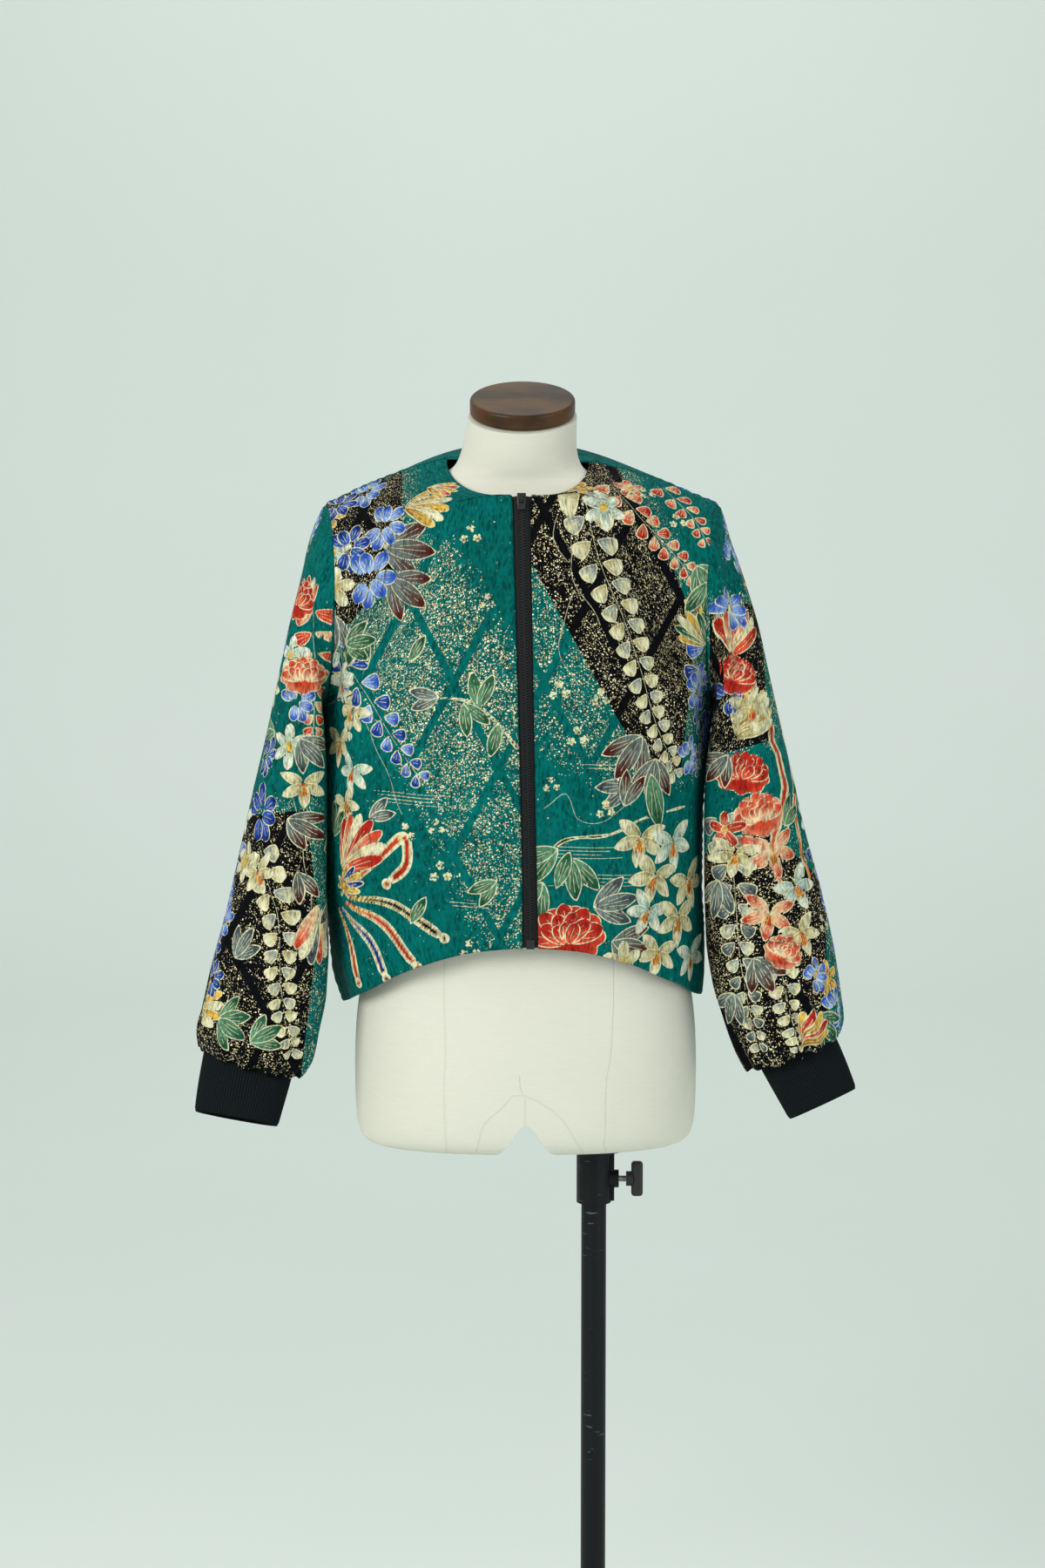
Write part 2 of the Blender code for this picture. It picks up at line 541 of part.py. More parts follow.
def cuff_point(side, angle, below, swell=0.0):
    """A point of a cuff's wall: angle 0 is its outer end, below is how far down from the seam."""
    cuff = CUFFS[side]
    down, out, forward = cuff_frame(side)
    part = below / CUFF_LONG
    half = [a + (b - a) * part + swell for a, b in zip(cuff["top_oval"], cuff["mouth"])]
    centre = np.array(cuff["top"]) + down * below
    return centre + out * half[0] * math.cos(angle) + forward * half[1] * math.sin(angle)


def sleeve_point(side, angle, down):
    """A point of a sleeve: angle 0 is its outer line, a quarter turn on is its front."""
    table = SLEEVES[side]
    last = table[-1][0]
    if down > last:
        seam = cuff_point(side, angle, 0.0, RIB_RISE + 2 * FIT)
        bottom = sleeve_point(side, angle, last)
        return bottom + (seam - bottom) * (down - last) / (1 - last)
    sign = SIDES[side]["sign"]
    r = row_at(table, SLEEVE_COLUMNS, down)
    outer = np.array((sign * r["outer_x"], r["middle_y"] + r["swing"], r["outer_z"]))
    inner = np.array((sign * r["inner_x"], r["middle_y"] - r["swing"], r["inner_z"]))
    ridge = float(curve_through(down, RIDGE_DOWN, RIDGE_RISE))
    ridge_at = math.radians(float(curve_through(down, RIDGE_DOWN, RIDGE_DEG)))
    away = (angle - ridge_at) / math.radians(RIDGE_WIDE_DEG)
    gather = float(curve_through(down, GATHER_DOWN, GATHER_RISE))
    swell = 1 + ridge * math.exp(-away * away) + gather * math.cos(GATHERS * angle)
    depth = r["front"] if math.sin(angle) > 0 else r["back"]
    sideways = (outer - inner) / 2 * math.cos(angle) * swell
    forwards = math.sin(angle) * depth * swell
    wrap = max(math.sin(angle), 0.0) * (1 - math.cos(angle)) / 2
    towards_body = sign * (r["set_in"] * abs(math.sin(angle)) + r["tuck"] * wrap)
    return (outer + inner) / 2 + sideways + np.array((-towards_body, -forwards, 0.0))


class Sheet:
    """An open cloth surface of triangles. Points that coincide are one point."""

    def __init__(self, name):
        self.name = name
        self.points = []
        self.index = {}
        self.faces = []

    def add_point(self, point):
        key = tuple(np.floor(np.asarray(point) / MERGE + 0.37).astype(int))
        if key not in self.index:
            self.index[key] = len(self.points)
            self.points.append(np.array(point, float))
        return self.index[key]

    def add_face(self, corners):
        if len(set(corners)) == 3:
            self.faces.append(corners)

    def add_grid(self, rows, turned):
        """Adds rows of points, each quad split along its shorter diagonal."""
        ids = [[self.add_point(p) for p in row] for row in rows]
        for low, high in zip(ids[:-1], ids[1:]):
            for k in range(len(low) - 1):
                a, b, c, d = low[k], low[k + 1], high[k + 1], high[k]
                if turned:
                    a, b, c, d = b, a, d, c
                across = np.linalg.norm(self.points[a] - self.points[c])
                other = np.linalg.norm(self.points[b] - self.points[d])
                if across <= other:
                    self.add_face((a, b, c))
                    self.add_face((a, c, d))
                else:
                    self.add_face((a, b, d))
                    self.add_face((b, c, d))

    def add_split_row(self, coarse, fine, turned):
        """Joins a row to one with twice as many steps."""
        low = [self.add_point(p) for p in coarse]
        high = [self.add_point(p) for p in fine]
        for k in range(len(low) - 1):
            a, b = low[k], low[k + 1]
            left, middle, right = high[2 * k], high[2 * k + 1], high[2 * k + 2]
            for corners in ((a, b, middle), (a, middle, left), (b, right, middle)):
                self.add_face(tuple(reversed(corners)) if turned else corners)

    def normals(self):
        total = np.zeros((len(self.points), 3))
        for a, b, c in self.faces:
            face = np.cross(self.points[b] - self.points[a], self.points[c] - self.points[a])
            for k in (a, b, c):
                total[k] += face
        return total / np.linalg.norm(total, axis=1)[:, None]

    def neighbours(self):
        near = [set() for _ in self.points]
        for face in self.faces:
            for k in face:
                near[k].update(face)
        return near

    def rim(self):
        """The open edges, each in its face's direction."""
        edges = {}
        for a, b, c in self.faces:
            for edge in ((a, b), (b, c), (c, a)):
                edges[edge] = True
        return [edge for edge in edges if (edge[1], edge[0]) not in edges]


def panel_rows(side, facing):
    below = [UNDERARM * k / ROWS_BELOW for k in range(ROWS_BELOW)]
    above = [UNDERARM + (1 - UNDERARM) * k / ROWS_ABOVE for k in range(ROWS_ABOVE + 1)]
    across = [k / PANEL_COLUMNS for k in range(PANEL_COLUMNS + 1)]
    return [[panel_point(side, u, v, facing) for u in across] for v in below + above]


def girth(side, count, down):
    """One closed ring of a sleeve's points."""
    return [sleeve_point(side, 2 * math.pi * (k % count) / count, down) for k in range(count + 1)]


def sleeve_sheet(side):
    sheet = Sheet(f"sleeve_{side}")
    turned = side == "right"
    rows = []
    for down in GIRTHS:
        rows.append(girth(side, SLEEVE_POINTS, down))
    fine = [girth(side, 2 * SLEEVE_POINTS, down) for down in GATHERED_GIRTHS]
    sheet.add_grid(rows, turned)
    sheet.add_split_row(rows[-1], fine[0], turned)
    sheet.add_grid(fine, turned)
    return sheet


def jacket_sheets():
    sheets = []
    for side in SIDES:
        front = Sheet(f"jacket_front_{side}")
        front.add_grid(panel_rows(side, -1), side == "right")
        sheets.append(front)
    back = Sheet("jacket_back")
    for side in SIDES:
        back.add_grid(panel_rows(side, 1), side == "left")
    sheets.append(back)
    sheets.extend(sleeve_sheet(side) for side in SIDES)
    return sheets


def unit(vector):
    return vector / max(np.linalg.norm(vector), 1e-9)


def part_seams(sheets):
    """Opens every seam by twice SEAM and gives both sides of it one direction for the wall.

    Where the cloth bends back on itself, as under the arm, each side keeps its own direction.
    """
    normals = [sheet.normals() for sheet in sheets]
    shared = {}
    for s, sheet in enumerate(sheets):
        for key, k in sheet.index.items():
            shared.setdefault(key, []).append((s, k))
    near = [sheet.neighbours() for sheet in sheets]
    moves = []
    turned = []
    for group in shared.values():
        if len(group) < 2:
            continue
        inward = {}
        for s, k in group:
            points = sheets[s].points
            inward[s] = unit(sum(points[j] - points[k] for j in near[s][k]))
        for s, k in group:
            apart = np.zeros(3)
            total = normals[s][k].copy()
            for o, other_k in group:
                if o == s:
                    continue
                if normals[o][other_k] @ normals[s][k] > 0:
                    apart += unit(inward[s] - inward[o])
                    total += normals[o][other_k]
                else:
                    apart -= 2 * normals[s][k]
            moves.append((s, k, unit(apart) * SEAM))
            turned.append((s, k, unit(total)))
    for s, k, move in moves:
        sheets[s].points[k] = sheets[s].points[k] + move
    for s, k, normal in turned:
        normals[s][k] = normal
    return normals


def cloth_wall(sheet, normals, finish, parent):
    """A closed wall: the sheet, the same sheet moved in by the cloth's thickness, and the rims."""
    bm = bmesh.new()
    outer = [bm.verts.new(p) for p in sheet.points]
    inner = [bm.verts.new(p - n * WALL) for p, n in zip(sheet.points, normals)]
    for face in sheet.faces:
        bm.faces.new([outer[k] for k in face])
        bm.faces.new([inner[k] for k in reversed(face)])
    for a, b in sheet.rim():
        bm.faces.new((outer[b], outer[a], inner[a]))
        bm.faces.new((outer[b], inner[a], inner[b]))
    mesh = mesh_of(sheet.name, bm)
    mesh.shade_smooth()
    mesh.set_sharp_from_angle(angle=math.radians(60))
    return add_object(sheet.name, mesh, finish, parent)


def build_cuff(side):
    """A ribbed tube: the ribs are in its outer points, and its inside is plain."""
    points = 2 * RIB_COUNT

    def ring(below, swell, ribbed):
        row = []
        for k in range(points + 1):
            rise = RIB_RISE if ribbed and k % 2 == 0 else 0.0
            row.append(cuff_point(side, 2 * math.pi * (k % points) / points, below, swell + rise))
        return row

    start = FIT
    middle = CUFF_LONG / 2
    rows = [ring(start, 0.0, True), ring(middle, 0.6 * MM, True), ring(CUFF_LONG, 0.0, True)]
    rows += [ring(CUFF_LONG, -CUFF_WALL, False), ring(start, -CUFF_WALL, False), rows[0]]
    tube = Sheet(f"cuff_{side}")
    tube.add_grid(rows, side == "right")
    bm = bmesh.new()
    corners = [bm.verts.new(p) for p in tube.points]
    for face in tube.faces:
        bm.faces.new([corners[k] for k in face])
    add_object(tube.name, mesh_of(tube.name, bm), RIB, FORM_AXIS)


def zip_place(z, across, out):
    """A point by the zip: across from its middle line, and out from the fronts' outer face."""
    step = 1 * MM
    y = -curve_through(z, PROFILE_Z, PROFILE_FRONT)
    rise = (-curve_through(z + step, PROFILE_Z, PROFILE_FRONT) - y) / step
    facing = unit(np.array((0.0, -1.0, rise)))
    return np.array((curve_through(z, ZIP_Z, ZIP_X) + across, y, z)) + facing * out


def zip_strip(name, side, near, far, low, high, out, thick, finish):
    """A strip along the zip. Its edges are functions of the height."""
    sign = SIDES[side]["sign"]
    bm = bmesh.new()
    rows = []
    for k in range(ZIP_STEPS + 1):
        z = low + (high - low) * k / ZIP_STEPS
        rows.append([bm.verts.new(zip_place(z, sign * across, out)) for across in (near, far(z))])
    for a, b in zip(rows[:-1], rows[1:]):
        face = (a[0], a[1], b[1], b[0])
        bm.faces.new(face if sign > 0 else tuple(reversed(face)))
    strip = add_object(name, mesh_of(name, bm), finish, FORM_AXIS)
    solidify = strip.modifiers.new("strip thickness", "SOLIDIFY")
    solidify.thickness = thick
    solidify.offset = -1.0


def zip_frame(z, out):
    """Where a hard piece sits on the zip, and its tilt about X."""
    place = zip_place(z, 0.0, out)
    above = zip_place(z + 4 * MM, 0.0, out)
    below = zip_place(z - 4 * MM, 0.0, out)
    rise = above - below
    return Vector(place), -math.atan2(rise[1], rise[2])


def build_zip():
    top = NECK_FRONT_Z - 0.5 * MM
    low = CENTRE_HEM_Z + 1 * MM
    chain_low = CENTRE_HEM_Z + BOX_TALL + FIT
    gap = 0.15 * MM
    chain_out = FIT - TAPE_SET_BACK + CHAIN_THICK
    for side in SIDES:
        edge = lambda z: float(curve_through(z, ZIP_Z, ZIP_HALF)) - FIT
        zip_strip(f"zip_tape_{side}", side, gap, edge, low, top, -TAPE_SET_BACK, TAPE_THICK, TAPE)
        chain = lambda z: CHAIN_HALF
        zip_strip(f"zip_chain_{side}", side, gap, chain, chain_low, top, chain_out, CHAIN_THICK, ZIP_METAL)
    place, tilt = zip_frame(CENTRE_HEM_Z + BOX_TALL / 2, FIT - TAPE_SET_BACK + BOX_THICK / 2)
    box = block("zip_bottom_box", (BOX_WIDE, BOX_THICK, BOX_TALL), ZIP_METAL, FORM_AXIS)
    box.location = place
    box.rotation_euler = (tilt, 0.0, 0.0)
    rounding(box, 0.5 * MM)
    build_slider(chain_out + FIT)


def slider_block(name, size, centre, finish, frame, parent=None, collection=cutters):
    """A block in the slider's own frame, in which -Y is out and +Z is up along the zip."""
    made = block(name, size, finish, parent, collection)
    made.location = frame @ Vector(centre)
    made.rotation_euler = frame.to_euler()
    return made


def build_slider(out):
    place, tilt = zip_frame(SLIDER_Z, out)
    frame = Matrix.Translation(place) @ Matrix.Rotation(tilt, 4, "X")
    plate = slider_block("zip_slider", (SLIDER_WIDE, SLIDER_THICK, SLIDER_LONG), (0, -SLIDER_THICK / 2, 0),
                         ZIP_METAL, frame, FORM_AXIS, parts)
    rounding(plate, 0.6 * MM)
    tall = BRIDGE_TALL + 0.4 * MM
    bridge_y = -SLIDER_THICK + 0.4 * MM - tall / 2
    bridge = slider_block("slider_bridge", (BRIDGE_WIDE, tall, BRIDGE_LONG), (0, bridge_y, 0), ZIP_METAL, frame)
    combine(plate, bridge, "UNION")
    window_tall = BRIDGE_TALL - BRIDGE_LEG
    window_y = -SLIDER_THICK - window_tall / 2
    window = slider_block("bridge_window", (BRIDGE_WIDE * 2, window_tall, BRIDGE_LONG - 2 * BRIDGE_LEG),
                          (0, window_y, 0), ZIP_METAL, frame)
    combine(plate, window, "DIFFERENCE")
    hinge = frame @ Vector((0.0, -SLIDER_THICK - PULL_AXIS_OUT, 0.0))
    hinge_frame = Matrix.Translation(hinge) @ Matrix.Rotation(tilt, 4, "X")
    axis = axis_empty("pull_tab_axis", hinge)
    axis.parent = FORM_AXIS
    axis.matrix_parent_inverse = Matrix.Translation(-FORM_AXIS.location)
    pull_middle = -PULL_LONG / 2 + PULL_THICK / 2
    pull = slider_block("zip_pull_tab", (PULL_WIDE, PULL_THICK, PULL_LONG), (0, 0, pull_middle), ZIP_METAL,
                        hinge_frame, axis, parts)
    rounding(pull, 0.35 * MM)
    window_middle = -PULL_THICK / 2 - PULL_WINDOW / 2
    hole = slider_block("pull_window", (PULL_WIDE - 2 * PULL_SIDE, PULL_THICK * 3, PULL_WINDOW),
                        (0, 0, window_middle), ZIP_METAL, hinge_frame)
    combine(pull, hole, "DIFFERENCE")


def build_jacket():
    sheets = jacket_sheets()
    normals = part_seams(sheets)
    for sheet, directions in zip(sheets, normals):
        cloth_wall(sheet, directions, CREPE, FORM_AXIS)
    for side in SIDES:
        build_cuff(side)
    build_zip()


build_stand()
build_clamp()
build_form()
build_jacket()
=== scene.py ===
# %% [markdown]
# # A kimono crepe jacket on its dress form
#
# The jacket is cut from printed kimono crepe: two fronts, a back in one piece, two sleeves that are
# gathered into black rib cuffs, and a zip down the middle. It hangs on a limbless form of linen
# with a wooden neck cap, which stands on a black steel pole.
#
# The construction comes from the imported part. This lesson adds the looks: dense cloth shells on
# the same cut, a print that is worked out point by point, and a finish for every surface.

# %% The frame
import math

import bmesh
import bpy
import numpy as np
from mathutils import Matrix, Vector


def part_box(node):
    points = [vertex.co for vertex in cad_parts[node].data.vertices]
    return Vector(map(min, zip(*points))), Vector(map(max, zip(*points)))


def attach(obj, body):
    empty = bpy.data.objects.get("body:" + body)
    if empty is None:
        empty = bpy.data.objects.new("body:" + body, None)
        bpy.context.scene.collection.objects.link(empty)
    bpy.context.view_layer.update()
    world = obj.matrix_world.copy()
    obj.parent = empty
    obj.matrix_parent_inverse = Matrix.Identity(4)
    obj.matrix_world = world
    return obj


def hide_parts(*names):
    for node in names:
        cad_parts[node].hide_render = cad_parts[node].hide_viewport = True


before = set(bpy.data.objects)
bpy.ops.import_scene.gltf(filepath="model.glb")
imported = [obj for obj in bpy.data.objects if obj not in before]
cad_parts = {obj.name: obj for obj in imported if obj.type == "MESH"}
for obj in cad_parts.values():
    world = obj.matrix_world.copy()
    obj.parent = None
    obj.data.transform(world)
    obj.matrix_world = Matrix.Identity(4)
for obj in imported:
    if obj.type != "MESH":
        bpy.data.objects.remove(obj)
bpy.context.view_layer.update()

MM = 0.001

# %% [markdown]
# ## Camera and light
#
# A long lens from a little above the form's neck, tilted down by seven degrees, gives the flat,
# calm view of a shop photograph. The light is a large soft one from the front left, a weaker one
# from the right, one overhead and one that washes the wall. A pale world fills the shadows.

# %% Camera and light
EYE = Vector((-0.003, -3.559, 1.467))
TILT = math.radians(7)
LENS_MM = 85
SENSOR_MM = 36
PHOTO_WIDE = 1200
PHOTO_TALL = 1800
PIXELS_PER_RISE = PHOTO_TALL * LENS_MM / SENSOR_MM


def add_camera():
    lens = bpy.data.cameras.new("camera")
    lens.lens = LENS_MM
    lens.sensor_width = SENSOR_MM
    eye = bpy.data.objects.new("camera", lens)
    eye.location = EYE
    eye.rotation_euler = (math.pi / 2 - TILT, 0.0, 0.0)
    bpy.context.scene.collection.objects.link(eye)
    bpy.context.scene.camera = eye


def add_light(name, place, aim, size, power, colour):
    lamp = bpy.data.lights.new(name, "AREA")
    lamp.size = size
    lamp.energy = power
    lamp.color = colour
    holder = bpy.data.objects.new(name, lamp)
    holder.location = place
    holder.rotation_euler = (Vector(aim) - Vector(place)).to_track_quat("-Z", "Y").to_euler()
    bpy.context.scene.collection.objects.link(holder)


add_camera()
bpy.context.scene.view_settings.view_transform = "Standard"
add_light("key", (-2.1, -2.3, 2.3), (0, 0, 1.0), 1.5, 66, (1.0, 0.985, 0.96))
add_light("fill", (2.6, -2.2, 1.4), (0, 0, 1.0), 2.0, 30, (0.97, 0.985, 1.0))
add_light("top", (0.1, 0.5, 3.0), (0, 0, 1.0), 1.6, 14, (1.0, 1.0, 1.0))
add_light("wall wash", (0, 3.2, 3.6), (0, 6.0, 1.8), 3.0, 34, (1.0, 0.98, 0.99))
world = bpy.data.worlds.new("soft room")
bpy.context.scene.world = world
world.use_nodes = True
world.node_tree.nodes["Background"].inputs["Color"].default_value = (0.78, 0.84, 0.81, 1.0)
world.node_tree.nodes["Background"].inputs["Strength"].default_value = 0.64
print("camera at", tuple(round(v, 3) for v in EYE))

# %% [markdown]
# ## Shader maths as Python
#
# A procedural finish is a long sum of small steps. Written node by node it is hard to read, so one
# class wraps a socket and overloads the operators: an expression on wires adds the Math nodes.
# Colours go through Mix nodes, because a Math node would turn them grey.

# %% A class for shader maths
class Wire:
    """One socket of a finish. Arithmetic on it adds Math nodes."""

    def __init__(self, finish, socket):
        self.finish = finish
        self.socket = socket

    def maths(self, operation, *others):
        return self.finish.add("ShaderNodeMath", {"operation": operation}, dict(enumerate((self, *others))))

    def __add__(self, other):
        return self.maths("ADD", other)

    def __sub__(self, other):
        return self.maths("SUBTRACT", other)

    def __rsub__(self, other):
        return self.finish.add("ShaderNodeMath", {"operation": "SUBTRACT"}, {0: other, 1: self})

    def __mul__(self, other):
        return self.maths("MULTIPLY", other)

    def __abs__(self):
        return self.maths("ABSOLUTE")

    __radd__ = __add__
    __rmul__ = __mul__

    def larger(self, other):
        return self.maths("MAXIMUM", other)

    def smaller(self, other):
        return self.maths("MINIMUM", other)

    def wave(self):
        return self.maths("SINE")

    def rise(self, low, high):
        """0 below low, 1 above high and a smooth step between."""
        settings = {"interpolation_type": "SMOOTHSTEP"}
        return self.finish.add("ShaderNodeMapRange", settings, {0: self, 1: low, 2: high, 3: 0.0, 4: 1.0})


MID_GREY = (0.5, 0.5, 0.5, 1.0)


class Finish:
    """A material whose nodes are added by method calls."""

    def __init__(self, name, roughness=0.5, metallic=0.0, **sockets):
        self.material = bpy.data.materials.new(name)
        self.material.use_nodes = True
        self.tree = self.material.node_tree
        self.shader = self.tree.nodes["Principled BSDF"]
        self.feed("Base Color", MID_GREY)
        self.feed("Roughness", roughness)
        self.feed("Metallic", metallic)
        for socket, value in sockets.items():
            self.feed(socket.replace("_", " "), value)

    def feed(self, socket, value):
        self.put(self.shader.inputs[socket], value)

    def put(self, socket, value):
        if isinstance(value, Wire):
            self.tree.links.new(value.socket, socket)
        else:
            socket.default_value = value

    def add(self, kind, settings=None, sockets=None, output=0):
        """Adds a node: its settings first, then the values or links of its sockets."""
        node = self.tree.nodes.new(kind)
        for name, value in (settings or {}).items():
            setattr(node, name, value)
        for name, value in (sockets or {}).items():
            self.put(node.inputs[name], value)
        return Wire(self, node.outputs[output])

    def mix(self, factor, first, second):
        """One colour turned into another by a factor from 0 to 1."""
        return self.add("ShaderNodeMix", {"data_type": "RGBA"}, {0: factor, 6: first, 7: second}, 2)

    def tint(self, colour, factor):
        """A colour made darker or lighter by a number."""
        grey = self.add("ShaderNodeCombineXYZ", None, {0: factor, 1: factor, 2: factor})
        return self.add("ShaderNodeVectorMath", {"operation": "MULTIPLY"}, {0: colour, 1: grey})

    def noise(self, coords, scale, detail):
        return self.add("ShaderNodeTexNoise", None, {"Vector": coords, "Scale": scale, "Detail": detail})

    def cells(self, coords, scale, output):
        return self.add("ShaderNodeTexVoronoi", None, {"Vector": coords, "Scale": scale}, output)

    def stretched(self, coords, scale, turn=(0.0, 0.0, 0.0)):
        return self.add("ShaderNodeMapping", None, {"Vector": coords, "Rotation": turn, "Scale": scale})

    def place(self):
        return self.add("ShaderNodeTexCoord", None, None, "Object")

    def cloth(self):
        """The cloth's own flat coordinates, in metres."""
        return self.add("ShaderNodeUVMap", {"uv_map": "cloth"})

    def parts(self, vector):
        """A vector's three numbers."""
        node = self.tree.nodes.new("ShaderNodeSeparateXYZ")
        self.put(node.inputs[0], vector)
        return [Wire(self, socket) for socket in node.outputs]

    def painted(self, name):
        """A painted attribute's three colour numbers and its fourth."""
        node = self.tree.nodes.new("ShaderNodeAttribute")
        node.attribute_name = name
        colour = Wire(self, node.outputs["Color"])
        return colour, [*self.parts(colour), Wire(self, node.outputs["Alpha"])]

    def nearest(self, distances):
        """The smallest of four distances, whichever side of its line each is on."""
        a, b, c, d = (abs(distance) for distance in distances)
        return a.smaller(b).smaller(c.smaller(d))

    def bump(self, *layers):
        """Stacks bumps, each a height from 0 to 1 and its real depth in metres."""
        normal = None
        for height, depth in layers:
            sockets = {"Height": height, "Distance": depth, "Strength": 1.0}
            if normal is not None:
                sockets["Normal"] = normal
            normal = self.add("ShaderNodeBump", None, sockets)
        self.feed("Normal", normal)


def dye(code):
    """A hex colour as it is seen, made linear."""
    values = [int(code[k:k + 2], 16) / 255 for k in (0, 2, 4)]
    return tuple(v / 12.92 if v <= 0.04045 else ((v + 0.055) / 1.055) ** 2.4 for v in values)


print("finish class ready")


# %% [markdown]
# ## The cut of the jacket
#
# The solids of the part were worked out from these sizes: profiles down the middle, side seams,
# armholes, and a table of girths for each sleeve. The same sizes are used here, but the functions
# take whole arrays, so that one call places every point of a panel.

# %% Sizes of the jacket
# The jacket: heights and the measures that both sides share
CENTRE_HEM_Z = 0.889
BACK_HEM_Z = 0.801
NECK_FRONT_Z = 1.3125
NECK_BACK_Z = 1.357
NECK_X = -0.0075
NECK_HALF = 0.068
NECK_SIDE_Y = 0.005
SIDE_SEAM_Y = 0.004
SHOULDER_RISE = 4.5 * MM
FULLNESS = 0.62  # how boxy the body's round is: 0.552 would be an ellipse
UNDERARM = 0.5  # where the side seam meets the armhole, from hem 0 to shoulder seam 1
NECK_FRONT = UNDERARM + (1 - UNDERARM) * 7 / 12
NECK_BACK = UNDERARM + (1 - UNDERARM) * 9 / 12

PROFILE_Z = (0.80, 0.889, 0.96, 1.03, 1.10, 1.15, 1.20, 1.25, 1.28, 1.3125, 1.34, 1.357)
PROFILE_FRONT = (0.123, 0.125, 0.126, 0.128, 0.130, 0.128, 0.120, 0.104, 0.093, 0.080, 0.072, 0.068)
PROFILE_BACK = (0.119, 0.112, 0.107, 0.106, 0.108, 0.109, 0.107, 0.100, 0.092, 0.079, 0.066, 0.058)
ZIP_Z = (0.80, 0.889, 1.00, 1.3125, 1.36)
ZIP_X = (0.0046, 0.0044, 0.0027, -0.0040, -0.0048)
ZIP_HALF = (0.0074, 0.0074, 0.0070, 0.0085, 0.0087)

# Each side of the jacket: sign of X, shoulder point, underarm, side hem and how far the armhole
# is scooped in. Distances are from the middle plane.
SIDES = {
    "right": dict(
        sign=-1, shoulder=0.192, shoulder_z=1.2995, underarm=0.196, underarm_z=1.107,
        hem_z=0.818, neck_side_z=1.344, scoop=0.0135,
        seam_z=(0.80, 0.818, 0.848, 0.89, 0.93, 1.00, 1.06, 1.107),
        seam_x=(0.175, 0.178, 0.187, 0.191, 0.1945, 0.195, 0.195, 0.196),
    ),
    "left": dict(
        sign=1, shoulder=0.185, shoulder_z=1.2995, underarm=0.182, underarm_z=1.109,
        hem_z=0.826, neck_side_z=1.3415, scoop=0.0125,
        seam_z=(0.80, 0.826, 0.850, 0.89, 0.93, 1.00, 1.06, 1.109),
        seam_x=(0.169, 0.1695, 0.1715, 0.173, 0.171, 0.1715, 0.176, 0.182),
    ),
}

